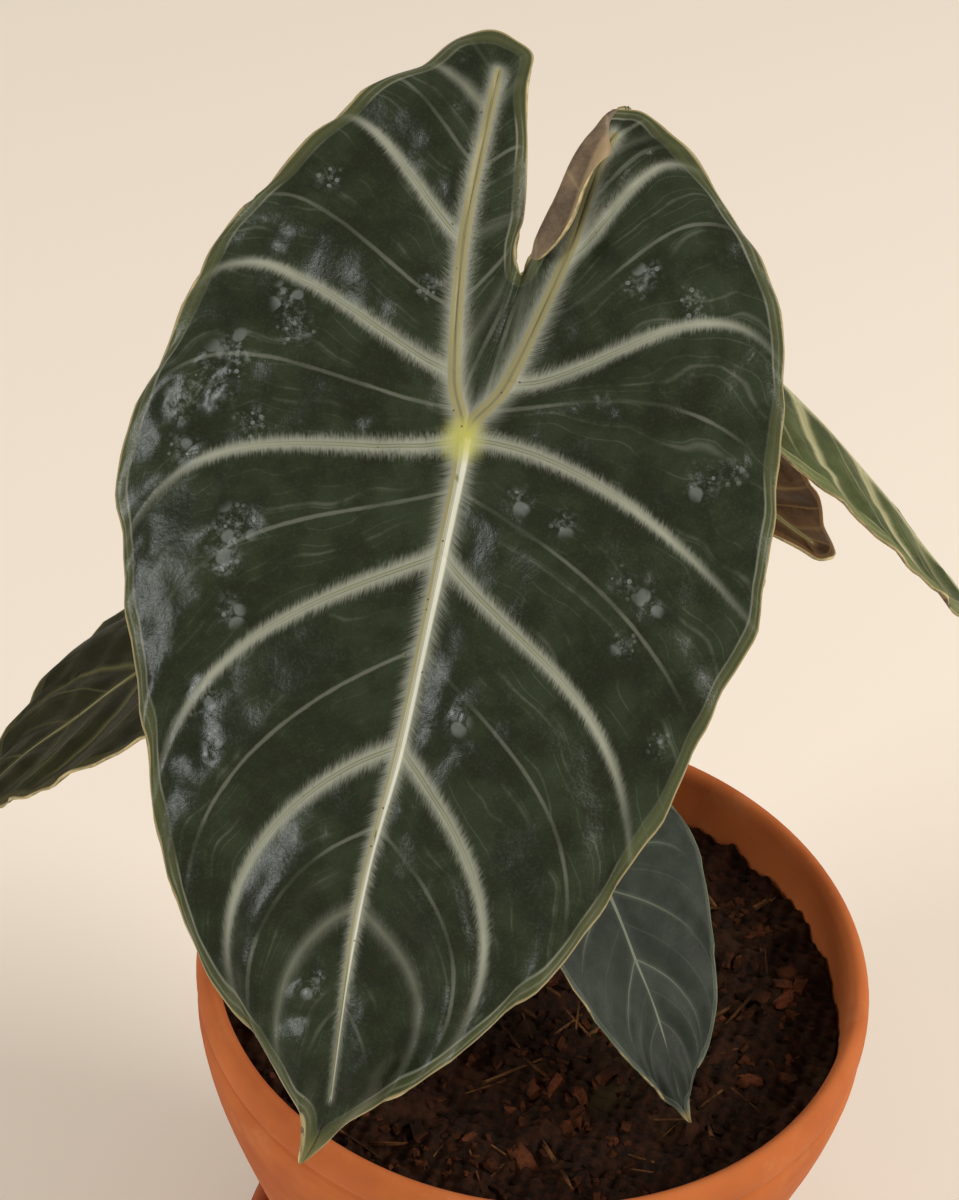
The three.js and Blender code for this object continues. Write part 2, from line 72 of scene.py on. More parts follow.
MM = 0.001
SAUCER_PROFILE = [
    (0.5, 0), (46, 0), (50, 0), (52, 1.5), (56.8, 6.6), (61.5, 12.1), (64.4, 16.4), (65.5, 18.5),
    (66.5, 20.4), (65.5, 21.7), (64.25, 22), (62.4, 21), (61.6, 19), (57, 12.1), (53, 8.6), (49, 6.2),
    (46, 5), (40, 5), (0.5, 5),
]
ROUND_SIDES = 128


def start_piece():
    """Leaves edit mode, and leaves nothing selected."""
    if bpy.context.object and bpy.context.object.mode != "OBJECT":
        bpy.ops.object.mode_set(mode="OBJECT")
    bpy.ops.object.select_all(action="DESELECT")


def smooth_profile(profile, closed, steps=3):
    """More points on a smooth curve through a profile's points."""
    points = np.array(profile, float)
    count = len(points)
    result = []
    for i in range(count if closed else count - 1):
        pick = (lambda k: points[k % count]) if closed else (lambda k: points[min(max(k, 0), count - 1)])
        before, start, end, after = pick(i - 1), pick(i), pick(i + 1), pick(i + 2)
        span = max(np.linalg.norm(end - start), 1e-6)
        leave = (end - before) * span / max(np.linalg.norm(end - before), 1e-6)
        arrive = (after - start) * span / max(np.linalg.norm(after - start), 1e-6)
        for k in range(steps):
            u = k / steps
            result.append((2 * u**3 - 3 * u**2 + 1) * start + (u**3 - 2 * u**2 + u) * leave
                          + (3 * u**2 - 2 * u**3) * end + (u**3 - u**2) * arrive)
    if not closed:
        result.append(points[-1])
    return result


def turn_piece(name, profile, closed):
    """A thrown piece: a circle drawn out ring by ring along its profile, in millimetres."""
    start_piece()
    rings = smooth_profile(profile, closed)
    radius, height = rings[0]
    bpy.ops.mesh.primitive_circle_add(vertices=ROUND_SIDES, radius=radius * MM, location=(0, 0, height * MM))
    piece = bpy.context.object
    piece.name = piece.data.name = name
    bpy.ops.object.transform_apply(location=True)
    bpy.ops.object.mode_set(mode="EDIT")
    bpy.ops.mesh.select_all(action="SELECT")
    if not closed:
        bpy.ops.mesh.edge_face_add()
        bpy.ops.mesh.select_all(action="SELECT")
        bpy.ops.mesh.extrude_region_move()
    for last, ring in zip(rings, rings[1:] + rings[:1] if closed else rings[1:]):
        if closed or last is not rings[0]:
            bpy.ops.mesh.extrude_region_move()
        grow = ring[0] / last[0]
        bpy.ops.transform.translate(value=(0, 0, (ring[1] - last[1]) * MM))
        bpy.ops.transform.resize(value=(grow, grow, 1), center_override=(0, 0, ring[1] * MM))
    bpy.ops.mesh.select_all(action="SELECT")
    bpy.ops.mesh.remove_doubles(threshold=0.00001)
    bpy.ops.mesh.select_all(action="SELECT")
    bpy.ops.mesh.normals_make_consistent(inside=False)
    bpy.ops.object.mode_set(mode="OBJECT")
    bpy.ops.object.shade_smooth_by_angle(angle=math.radians(50))
    return piece


def linear(colour):
    """An sRGB hex colour as linear red, green, blue and alpha."""
    parts = [int(colour[i:i + 2], 16) / 255 for i in (1, 3, 5)]
    return [c / 12.92 if c <= 0.04045 else ((c + 0.055) / 1.055) ** 2.4 for c in parts] + [1]


def add(tree, kind, inputs=None, output=None, **settings):
    """Adds one node with its settings, and with each input's value, hex colour or link. It gives the
    node, or one of its outputs. A Map Range turns its input 0 from between inputs 1 and 2 to between
    3 and 4, and a Mix lays the colour of input 7 over that of input 6 by the share in input 0."""
    new = tree.nodes.new(kind)
    for key, value in settings.items():
        setattr(new, key, value)
    for key, value in (inputs or {}).items():
        if isinstance(value, bpy.types.NodeSocket):
            tree.links.new(value, new.inputs[key])
        else:
            new.inputs[key].default_value = linear(value) if isinstance(value, str) else value
    return new if output is None else new.outputs[output]


def new_material(name):
    """A material with its shader and output in place."""
    material = bpy.data.materials.new(name)
    material.use_nodes = True
    material.node_tree.nodes.clear()
    shader = add(material.node_tree, "ShaderNodeBsdfPrincipled")
    add(material.node_tree, "ShaderNodeOutputMaterial", {0: shader.outputs[0]})
    return material, material.node_tree, shader


def terracotta(name, body, dark, bloom, wetness):
    """Unglazed terracotta, thrown and fired: fine grit, faint turning lines, and a pale bloom of salts."""
    material, tree, shader = new_material(name)
    place = add(tree, "ShaderNodeTexCoord").outputs["Object"]
    # broad patches from firing, about 40 mm across
    patches = add(tree, "ShaderNodeTexNoise", {"Vector": place, "Scale": 26, "Detail": 3, "Roughness": 0.6})
    # grit of about 0.5 mm
    grit = add(tree, "ShaderNodeTexNoise", {"Vector": place, "Scale": 1700, "Detail": 2, "Roughness": 0.7})
    # turning lines 1.5 mm apart, which follow the height alone
    stretched = add(tree, "ShaderNodeMapping", {"Vector": place, "Scale": (6, 6, 640)}).outputs[0]
    lines = add(tree, "ShaderNodeTexNoise", {"Vector": stretched, "Scale": 1, "Detail": 2, "Roughness": 0.5})
    colour = add(tree, "ShaderNodeMix", {
        0: add(tree, "ShaderNodeMapRange", {
            0: patches.outputs[0], 1: 0.35, 2: 0.7}, 0, interpolation_type="SMOOTHSTEP"),
        6: body, 7: dark}, 2, data_type="RGBA")
    colour = add(tree, "ShaderNodeMix", {
        0: add(tree, "ShaderNodeMapRange", {
            0: lines.outputs[0], 1: 0.5, 2: 0.75, 3: 0, 4: 0.25}, 0, interpolation_type="SMOOTHSTEP"),
        6: colour, 7: dark}, 2, data_type="RGBA")
    # salts come out where the wall dries, in clouds of 10 mm and more
    clouds = add(tree, "ShaderNodeTexNoise", {"Vector": place, "Scale": 75, "Detail": 5, "Roughness": 0.65})
    colour = add(tree, "ShaderNodeMix", {
        0: add(tree, "ShaderNodeMapRange", {
            0: clouds.outputs[0], 1: 0.52, 2: 0.78, 3: 0, 4: 0.28}, 0, interpolation_type="SMOOTHSTEP"),
        6: colour, 7: bloom}, 2, data_type="RGBA")
    colour = add(tree, "ShaderNodeMix", {
        0: add(tree, "ShaderNodeMapRange", {
            0: grit.outputs[0], 1: 0.6, 2: 0.72, 3: 0, 4: 0.25}, 0, interpolation_type="SMOOTHSTEP"),
        6: colour, 7: dark}, 2, data_type="RGBA")
    tree.links.new(colour, shader.inputs["Base Color"])
    tree.links.new(
        add(tree, "ShaderNodeMapRange", {
            0: clouds.outputs[0], 1: 0.3, 2: 0.7, 3: 0.78 - wetness,
            4: 0.92 - wetness}, 0, interpolation_type="SMOOTHSTEP"),
        shader.inputs["Roughness"])
    height = add(tree, "ShaderNodeMath", {
        0: add(tree, "ShaderNodeMath", {0: grit.outputs[0], 1: 0.35}, 0, operation="MULTIPLY"),
        1: lines.outputs[0]}, 0, operation="ADD")
    bump = add(tree, "ShaderNodeBump", {"Height": height, "Strength": 0.35, "Distance": 0.0002})
    tree.links.new(bump.outputs[0], shader.inputs["Normal"])
    shader.inputs["IOR"].default_value = 1.5
    shader.inputs["Specular IOR Level"].default_value = 0.3
    return material


saucer = turn_piece("saucer_turned", SAUCER_PROFILE, False)
saucer.data.materials.append(terracotta("terracotta, damp", "#a4552f", "#7f3a1d", "#c08a66", 0.1))
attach(saucer, "root")
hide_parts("saucer")

# Pot: thrown terracotta with a flared wall, a rolled lip above a crease, and a drainage hole. It
# stands loose in its saucer.

POT_PROFILE = [
    (7, 5.3), (25, 5.3), (39.5, 5.3), (41, 6.8), (45.4, 20), (50.5, 35), (60, 60), (69, 85), (75.4, 105),
    (78.2, 119), (77.9, 123.4), (76.9, 124.6), (78.3, 126.2), (78.7, 129.6), (77.9, 133.2), (76.2, 135),
    (74.4, 134), (73.7, 131.4), (73.2, 119), (70.4, 105), (64, 85), (55, 60), (45.5, 35), (37.5, 14.3),
    (35, 12.3), (21, 12.3), (7, 12.3),
]

pot = turn_piece("pot_turned", POT_PROFILE, True)
pot.data.materials.append(terracotta("terracotta", "#b4632f", "#9e4f22", "#c68c60", 0))
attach(pot, "root")
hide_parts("pot")

# Potting mix: peat, bark and fibre, filled to 12 mm below the lip. The ground is one lumpy body
# that fits the pot, and bark and fibres lie on it, half sunk in.

SOIL_TOP = 122
SOIL_RADIUS = 72.6
SOIL_WALL = [(69.8, 105), (63.5, 85), (54.5, 60), (45.0, 35), (36.9, 14.9), (30, 12.7)]
STEM_PLACE = (-20, 12)
STEM_RADIUS = 11.8
SCATTER_REACH = 70
CHIP_TILT = 0.35
random = np.random.default_rng(11)


def waves(count, short, long):
    """Seeded sine waves whose lengths lie between short and long, in millimetres."""
    angle = random.uniform(0, 2 * math.pi, count)
    length = np.exp(random.uniform(math.log(short), math.log(long), count))
    return np.cos(angle) / length, np.sin(angle) / length, random.uniform(0, 2 * math.pi, count), length


def ripple(x, y, field):
    """The sum of the waves at x, y, about from -1 to 1."""
    across, along, phase, length = field
    turn = 2 * math.pi * (x[..., None] * across + y[..., None] * along) + phase
    return (np.sin(turn) * length / length.max()).sum(-1) / math.sqrt(len(length))


LUMPS = waves(40, 3.5, 16)


def soil_height(x, y):
    """The mix's surface: the lumps of the CAD body, with crumbs on them."""
    lumps = np.sin(x * 0.21 + 1.3) * np.cos(y * 0.17 - 0.4) + 0.7 * np.sin(x * 0.37 - y * 0.31)
    crumbs = np.sin(x * 1.13 + y * 0.71) * np.sin(y * 1.27 - x * 0.55)
    height = SOIL_TOP + 2 * (0.5 * lumps + 0.45 * crumbs) - 0.0005 * (x * x + y * y)
    return height + 1.7 * ripple(x, y, LUMPS)


def read_points(mesh):
    """A mesh's vertices in millimetres."""
    points = np.zeros(len(mesh.vertices) * 3)
    mesh.vertices.foreach_get("co", points)
    return points.reshape(-1, 3) / MM


def write_points(mesh, points):
    mesh.vertices.foreach_set("co", (np.asarray(points) * MM).ravel())
    mesh.update()


start_piece()
bpy.ops.mesh.primitive_grid_add(x_subdivisions=200, y_subdivisions=200, size=2)
soil = bpy.context.object
soil.name = soil.data.name = "soil_mix"
points = read_points(soil.data) * MM
# the square grid is drawn into a disc
x, y = points[:, 0].copy(), points[:, 1].copy()
points[:, 0] = SOIL_RADIUS * x * np.sqrt(1 - y * y / 2)
points[:, 1] = SOIL_RADIUS * y * np.sqrt(1 - x * x / 2)
points[:, 2] = soil_height(points[:, 0], points[:, 1])
# it dips round the stem, and stays under the stem's top
from_stem = np.hypot(points[:, 0] - STEM_PLACE[0], points[:, 1] - STEM_PLACE[1])
hollow = np.clip((from_stem - STEM_RADIUS) / 6, 0, 1)
points[:, 2] = np.minimum(points[:, 2], 120.5 + 6 * hollow)
write_points(soil.data, points)
bpy.ops.object.mode_set(mode="EDIT")
bpy.ops.mesh.select_all(action="SELECT")
bpy.ops.mesh.region_to_loop()
level = None
for radius, height in SOIL_WALL:
    bpy.ops.mesh.extrude_region_move()
    if level is None:
        bpy.ops.transform.resize(value=(1, 1, 0), center_override=(0, 0, height * MM))
        level, last_radius = height, SOIL_RADIUS
    grow = radius / last_radius
    bpy.ops.transform.translate(value=(0, 0, (height - level) * MM))
    bpy.ops.transform.resize(value=(grow, grow, 1), center_override=(0, 0, height * MM))
    level, last_radius = height, radius
bpy.ops.mesh.edge_face_add()
bpy.ops.mesh.select_all(action="SELECT")
bpy.ops.mesh.normals_make_consistent(inside=False)
bpy.ops.object.mode_set(mode="OBJECT")
bpy.ops.object.shade_smooth()


def soil_material():
    """Moist peat and composted bark: nearly black, with brown crumbs and a few mossy green patches."""
    material, tree, shader = new_material("potting mix, moist")
    place = add(tree, "ShaderNodeTexCoord").outputs["Object"]
    crumbs = add(tree, "ShaderNodeTexNoise", {"Vector": place, "Scale": 420, "Detail": 6, "Roughness": 0.75})
    clods = add(tree, "ShaderNodeTexNoise", {"Vector": place, "Scale": 90, "Detail": 4, "Roughness": 0.6})
    moss = add(tree, "ShaderNodeTexNoise", {"Vector": place, "Scale": 45, "Detail": 3, "Roughness": 0.6})
    colour = add(tree, "ShaderNodeMix", {
        0: add(tree, "ShaderNodeMapRange", {
            0: crumbs.outputs[0], 1: 0.35, 2: 0.7}, 0, interpolation_type="SMOOTHSTEP"),
        6: "#120802", 7: "#341a09"}, 2, data_type="RGBA")
    colour = add(tree, "ShaderNodeMix", {
        0: add(tree, "ShaderNodeMapRange", {
            0: clods.outputs[0], 1: 0.45, 2: 0.7, 3: 0, 4: 0.6}, 0, interpolation_type="SMOOTHSTEP"),
        6: colour, 7: "#3a1f0f"}, 2, data_type="RGBA")
    colour = add(tree, "ShaderNodeMix", {
        0: add(tree, "ShaderNodeMapRange", {
            0: moss.outputs[0], 1: 0.56, 2: 0.72, 3: 0, 4: 0.5}, 0, interpolation_type="SMOOTHSTEP"),
        6: colour, 7: "#26260c"}, 2, data_type="RGBA")
    tree.links.new(colour, shader.inputs["Base Color"])
    shader.inputs["Roughness"].default_value = 0.85
    shader.inputs["Specular IOR Level"].default_value = 0.15
    bump = add(tree, "ShaderNodeBump", {"Height": crumbs.outputs[0], "Strength": 0.8, "Distance": 0.0012})
    tree.links.new(bump.outputs[0], shader.inputs["Normal"])
    return material


soil.data.materials.append(soil_material())
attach(soil, "root")
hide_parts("soil")


def scatter(name, count, longest, shortest, slim, flatness, material):
    """Many small chips in one mesh, each a box of its own shape, lying on the mix where it falls."""
    start_piece()
    chips = []
    while len(chips) < count:
        x, y = random.uniform(-SCATTER_REACH, SCATTER_REACH, 2)
        size = random.uniform(shortest, longest)
        from_stem = math.hypot(x - STEM_PLACE[0], y - STEM_PLACE[1])
        if math.hypot(x, y) > SCATTER_REACH - size * 0.7 or from_stem < STEM_RADIUS + size:
            continue
        chip = chip_form.copy()
        chip.data = chip_form.data.copy()
        bpy.context.scene.collection.objects.link(chip)
        shape = read_points(chip.data) * MM
        shape += random.uniform(-0.2, 0.2, shape.shape)
        shape *= (size, size * slim * random.uniform(0.5, 1.2), size * flatness * random.uniform(0.6, 1.4))
        turn = Matrix.Rotation(random.uniform(0, 6.28), 3, "Z")
        turn = turn @ Matrix.Rotation(random.normal(0, CHIP_TILT), 3, "X")
        shape = shape @ np.array(turn @ Matrix.Rotation(random.normal(0, CHIP_TILT), 3, "Y")).T
        height = soil_height(np.array([x]), np.array([y]))[0]
        write_points(chip.data, shape + (x, y, height + size * flatness * 0.25))
        chips.append(chip)
    for chip in chips:
        chip.select_set(True)
    bpy.context.view_layer.objects.active = chips[0]
    bpy.ops.object.join()
    piece = bpy.context.object
    piece.name = piece.data.name = name
    bpy.ops.object.shade_smooth_by_angle(angle=math.radians(45))
    piece.data.materials.clear()
    piece.data.materials.append(material)
    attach(piece, "root")
    return piece


def bark_material(name, light, dark):
    """Composted bark chips: fibrous, each its own shade of red brown."""
    material, tree, shader = new_material(name)
    place = add(tree, "ShaderNodeTexCoord").outputs["Object"]
    shades = add(tree, "ShaderNodeTexNoise", {"Vector": place, "Scale": 95, "Detail": 1})
    fibre = add(tree, "ShaderNodeTexNoise", {"Vector": place, "Scale": 900, "Detail": 4, "Distortion": 1.5})
    colour = add(tree, "ShaderNodeMix", {
        0: add(tree, "ShaderNodeMapRange", {
            0: shades.outputs[0], 1: 0.35, 2: 0.68}, 0, interpolation_type="SMOOTHSTEP"),
        6: dark, 7: light}, 2, data_type="RGBA")
    colour = add(tree, "ShaderNodeMix", {
        0: add(tree, "ShaderNodeMapRange", {
            0: fibre.outputs[0], 1: 0.4, 2: 0.7, 3: 0, 4: 0.55}, 0, interpolation_type="SMOOTHSTEP"),
        6: colour, 7: "#1c0f07"}, 2, data_type="RGBA")
    tree.links.new(colour, shader.inputs["Base Color"])
    shader.inputs["Roughness"].default_value = 0.8
    shader.inputs["Specular IOR Level"].default_value = 0.08
    bump = add(tree, "ShaderNodeBump", {"Height": fibre.outputs[0], "Strength": 0.6, "Distance": 0.0005})
    tree.links.new(bump.outputs[0], shader.inputs["Normal"])
    return material


start_piece()
bpy.ops.mesh.primitive_cube_add(size=1)
chip_form = bpy.context.object
bpy.ops.object.mode_set(mode="EDIT")
bpy.ops.mesh.subdivide(number_cuts=1)
bpy.ops.object.mode_set(mode="OBJECT")
scatter("bark_large", 70, 6.5, 3.2, 0.6, 0.34, bark_material("bark, composted", "#5c321d", "#1c0f07"))
scatter("bark_fine", 600, 3, 1.2, 0.65, 0.45, bark_material("bark, fine", "#4a2816", "#140b05"))
scatter("fibres", 90, 15, 6, 0.05, 0.05, bark_material("coir fibre", "#6d4a2c", "#2e1c0e"))
bpy.data.objects.remove(chip_form)

# Stem base: the short upright rhizome that all the stalks grow from, brown and ringed with the
# scars of old leaves. It stands in a hole in the mix.

STEM_PROFILE = [
    (0.4, 92), (5.3, 92), (10.6, 99), (11.8, 108), (11.8, 116), (11.5, 119), (11.8, 121), (11.4, 123),
    (11.7, 124.6), (10.6, 126), (8, 126), (0.4, 126),
]

stem = turn_piece("stem_base_grown", STEM_PROFILE, False)
points = read_points(stem.data)
points[:, :2] += STEM_PLACE
write_points(stem.data, points)


def stalk_material(name, light, dark, stripe):
    """Leaf stalk: smooth and waxy, pinkish brown, mottled with darker dashes along its length."""
    material, tree, shader = new_material(name)
    place = add(tree, "ShaderNodeTexCoord").outputs["Object"]
    drawn = add(tree, "ShaderNodeMapping", {"Vector": place, "Scale": (1, 1, 0.18)}).outputs[0]
    # dashes about 1 mm wide and 5 mm long
    dashes = add(tree, "ShaderNodeTexNoise", {"Vector": drawn, "Scale": 900, "Detail": 2, "Roughness": 0.6})
    cloud = add(tree, "ShaderNodeTexNoise", {"Vector": place, "Scale": 60, "Detail": 3})
    colour = add(tree, "ShaderNodeMix", {
        0: add(tree, "ShaderNodeMapRange", {
            0: cloud.outputs[0], 1: 0.35, 2: 0.65}, 0, interpolation_type="SMOOTHSTEP"),
        6: light, 7: dark}, 2, data_type="RGBA")
    colour = add(tree, "ShaderNodeMix", {
        0: add(tree, "ShaderNodeMapRange", {
            0: dashes.outputs[0], 1: 0.52, 2: 0.6, 3: 0, 4: 0.7}, 0, interpolation_type="SMOOTHSTEP"),
        6: colour, 7: stripe}, 2, data_type="RGBA")
    tree.links.new(colour, shader.inputs["Base Color"])
    shader.inputs["Roughness"].default_value = 0.42
    shader.inputs["Subsurface Weight"].default_value = 0.12
    shader.inputs["Subsurface Scale"].default_value = 0.002
    bump = add(tree, "ShaderNodeBump", {"Height": dashes.outputs[0], "Strength": 0.25, "Distance": 0.0002})
    tree.links.new(bump.outputs[0], shader.inputs["Normal"])
    return material


stem.data.materials.append(stalk_material("rhizome skin", "#8f6c50", "#6a4a34", "#3f2a1c"))
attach(stem, "root")
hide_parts("stem_base")

# Leaf blades: the five leaves share one growth plan. The ring runs round the leaf in 24 steps: 0
# is the tip, 4 and 20 leave the hub, 8 and 16 are the ends of the lobes, and 12 is the notch. The
# sizes are in millimetres. The front, left and small leaves stand as their solids do, and the right
# and rear ones are turned and moved a little, as their outlines in the photo ask.

VEINS = np.array([
    [[3.0, -119.0], [2.6, -122.6], [1.8, -126.8]],
    [[0.4, -83.7], [-7.7, -93.0], [-9.6, -105.6]],
    [[1.4, -54.5], [-13.6, -67.4], [-21.5, -86.5]],
    [[0.9, -20.2], [-17.0, -31.9], [-33.4, -48.6]],
    [[0.0, 0.0], [-21.5, -5.7], [-42.3, -12.1]],
    [[-4.2, 10.9], [-22.4, 17.1], [-40.8, 22.5]],
    [[-8.2, 34.8], [-16.1, 40.2], [-26.9, 49.2]],
    [[-9.2, 58.5], [-12.8, 60.9], [-18.3, 64.2]],
    [[-9.4, 66.0], [-9.4, 68.0], [-9.5, 70.0]],
    [[-9.2, 58.5], [-7.6, 61.0], [-5.8, 64.6]],
    [[-8.2, 34.8], [-5.0, 37.0], [-1.6, 39.8]],
    [[-4.2, 10.9], [-2.6, 18.0], [0.2, 26.0]],
    [[0.0, 0.0], [0.8, 10.8], [2.1, 21.1]],
    [[5.4, 11.5], [4.8, 19.2], [4.6, 27.6]],
    [[10.4, 35.4], [8.0, 39.0], [5.8, 43.0]],
    [[12.2, 53.0], [10.4, 55.0], [8.8, 57.0]],
    [[13.6, 59.0], [14.2, 60.9], [14.9, 62.8]],
    [[12.2, 53.0], [14.8, 56.2], [18.6, 59.4]],
    [[10.4, 35.4], [15.7, 44.0], [21.4, 54.0]],
    [[5.4, 11.5], [20.3, 18.8], [36.1, 29.0]],
    [[0.0, 0.0], [17.4, -0.5], [37.3, -7.6]],
    [[0.9, -20.2], [19.2, -32.2], [34.9, -44.3]],
    [[1.4, -54.5], [13.8, -66.5], [23.6, -84.2]],
    [[0.4, -83.7], [10.2, -91.0], [15.2, -101.0]],
])
MARGIN = np.array([
    [0, 0, -131.8], [0.3, -0.4, -127.0], [0.6, -1.3, -122.5], [1, -5.7, -118.0], [1.5, -10.6, -113.4],
    [2, -15.8, -108.1], [2.35, -24.5, -100.2], [2.7, -32.6, -88.6], [3, -39.2, -73.6],
    [3.3, -44.0, -61.2], [3.65, -50.2, -44.6], [4, -55.3, -31.8], [4.25, -58.8, -20.5],
    [4.5, -58.4, -9.0], [5, -53.6, 14.6], [5.4, -50.6, 26.0], [5.7, -42.8, 39.4], [6, -36.0, 50.7],
    [6.5, -29.4, 59.4], [7, -23.4, 64.6], [7.5, -16.6, 71.6], [8, -9.8, 73.4], [8.5, -4.4, 70.8],
    [9, -3.6, 64.4], [9.5, -1.0, 53.0], [10, 1.0, 41.6], [11, 1.4, 34.2], [12, 2.8, 31.0],
    [13, 4.2, 34.6], [13.5, 3.9, 40.0], [14, 4.0, 47.0], [15, 7.4, 58.8], [15.5, 11.0, 63.2],
    [16, 15.6, 64.5], [17, 23.1, 61.1], [18, 31.6, 56.2], [18.35, 38.4, 48.6], [18.7, 47.0, 38.6],
    [19, 52.8, 25.6], [19.35, 54.2, 12.0], [19.7, 57.0, -2.6], [20, 57.6, -20.6],
    [20.35, 54.4, -34.8], [20.7, 50.4, -51.8], [21, 46.1, -65.8], [21.35, 40.4, -79.6],
    [21.7, 31.6, -94.4], [22, 20.4, -108.2], [22.5, 16.4, -112.6], [23, 12.4, -117.0],
    [23.5, 5.6, -124.4], [23.75, 2.6, -128.8],
])
RING = 24
ROLL = {
    "share": 0.52, "radius": 1.1, "angle": 2.9, "flap": 3, "from": 12.2, "full": 14.4, "fade": 15.2,
    "to": 16,
}
LEAVES = {
    "front": dict(
        hub=(-25.5, -67.7, 334.4), heading=-102, slope=46.9, bank=6, size=1, width=1, mirror=False, fold=6,
        arch=7, tip_bend=14, lobe_bend=14, quilt=2.6, wave=1.5, phase=0.4, roll=True,
        stretch=(1.014, 1.026, 1.022), foot=-100, lobes=1, columns=20, rows=48),
    "left": dict(
        hub=(-54.7, -17.9, 257.9), heading=201, slope=23.6, bank=-17, size=0.7, width=0.95, mirror=True,
        fold=4, arch=3, tip_bend=20, lobe_bend=15, quilt=2.2, wave=1.5, phase=1, roll=False, foot=-172,
        lobes=0.65, columns=12, rows=30),
    "right": dict(
        hub=(28.5, -4.9, 313.2), heading=-32.8, slope=21.6, bank=36.7, size=0.57, width=0.7, mirror=False,
        fold=-17.7, arch=0.4, tip_bend=17.6, lobe_bend=15, quilt=1.6, wave=1.5, phase=2, roll=False,
        foot=44, lobes=1, columns=12, rows=30),
    "rear": dict(
        hub=(5.5, 23.6, 263.7), heading=143.5, slope=14.7, bank=10, size=0.7, width=1.02, mirror=False,
        fold=-20.9, arch=3, tip_bend=20, lobe_bend=38.9, quilt=2.2, wave=1.5, phase=0.7, roll=False,
        foot=116, lobes=1.04, columns=12, rows=30),
    "small": dict(
        hub=(9.4, 0.3, 169.3), heading=-55.6, slope=29.2, bank=6.5, size=0.5, width=0.85, mirror=True,
        fold=14, arch=3, tip_bend=20, lobe_bend=15, quilt=2, wave=1, phase=1, roll=False, foot=-28,
        lobes=0.45, columns=10, rows=26),
}
TIP_REACH = 132
LOBE_REACH = 72
HALF_WIDTH = 55


def through(a, b, c, d, u):
    """A smooth curve from b to c, with a before it and d after it."""
    u = np.asarray(u)[..., None]
    return 0.5 * (2 * b + (c - a) * u + (2 * a - 5 * b + 4 * c - d) * u * u + (3 * b - a - 3 * c + d) * u**3)


def smooth_step(low, high, value):
    u = np.clip((value - low) / (high - low), 0, 1)
    return u * u * (3 - 2 * u)


def length(vectors):
    return np.linalg.norm(vectors, axis=-1, keepdims=True)


def margin_at(ring):
    """The outline at places on the ring."""
    ring = np.asarray(ring, float) % RING
    knots, spots, count = MARGIN[:, 0], MARGIN[:, 1:], len(MARGIN)
    i = np.searchsorted(knots, ring, side="right") - 1
    end = np.where(i + 1 < count, knots[(i + 1) % count], RING)
    u = ((ring - knots[i]) / (end - knots[i]))[..., None]
    a, b, c, d = (spots[(i + k) % count] for k in (-1, 0, 1, 2))
    before, here, after = length(b - a), length(c - b), length(d - c)
    leave = here * ((b - a) / before * here + (c - b) / here * before) / (before + here)
    arrive = here * ((c - b) / here * after + (d - c) / after * here) / (here + after)
    return ((2 * u**3 - 3 * u**2 + 1) * b + (u**3 - 2 * u**2 + u) * leave
            + (3 * u**2 - 2 * u**3) * c + (u**3 - u**2) * arrive)


VEIN_POINTS = np.concatenate([VEINS, margin_at(np.arange(RING))[:, None]], axis=1)


def main_vein_at(ring):
    """The midrib from the tip to the hub, and on along the lobe on the ring's side."""
    ring = np.asarray(ring, float) % RING
    along = np.where(ring <= 8, ring, np.abs(16 - ring))
    along = np.where(ring > 12, np.where(ring < 16, ring - 8, RING - ring), along)
    right_lobe = (ring > 12) & (ring < 20)
    i = np.minimum(along.astype(int), 7)
    result = []
    for branch in ((5, 6, 7, 8), (19, 18, 17, 16)):
        knots = VEINS[[0, 1, 2, 3, 4, *branch], 0]
        knots = np.vstack([2 * knots[0] - knots[1], knots, 2 * knots[-1] - knots[-2]])
        result.append(through(knots[i], knots[i + 1], knots[i + 2], knots[i + 3], along - i))
    return np.where(right_lobe[..., None], result[1], result[0])


def vein_at(index, t):
    """A vein from its main vein, t = 0, to the outline, t = 1."""
    t = np.asarray(t, float)[..., None]
    points = VEIN_POINTS[np.asarray(index) % RING]
    return (-4.5 * (t - 1 / 3) * (t - 2 / 3) * (t - 1) * points[..., 0, :]
            + 13.5 * t * (t - 2 / 3) * (t - 1) * points[..., 1, :]
            - 13.5 * t * (t - 1 / 3) * (t - 1) * points[..., 2, :]
            + 4.5 * t * (t - 1 / 3) * (t - 2 / 3) * points[..., 3, :])


def flat_at(ring, t):
    """The blade laid flat."""
    ring, t = np.broadcast_arrays(np.asarray(ring, float), np.asarray(t, float))
    k = np.floor(ring).astype(int)

    def blend(v):
        return through(vein_at(k - 1, v), vein_at(k, v), vein_at(k + 1, v), vein_at(k + 2, v), ring - k)

    share = t[..., None]
    return (blend(t) + (1 - share) * (main_vein_at(ring) - blend(np.zeros_like(t)))
            + share * (margin_at(ring) - blend(np.ones_like(t))))


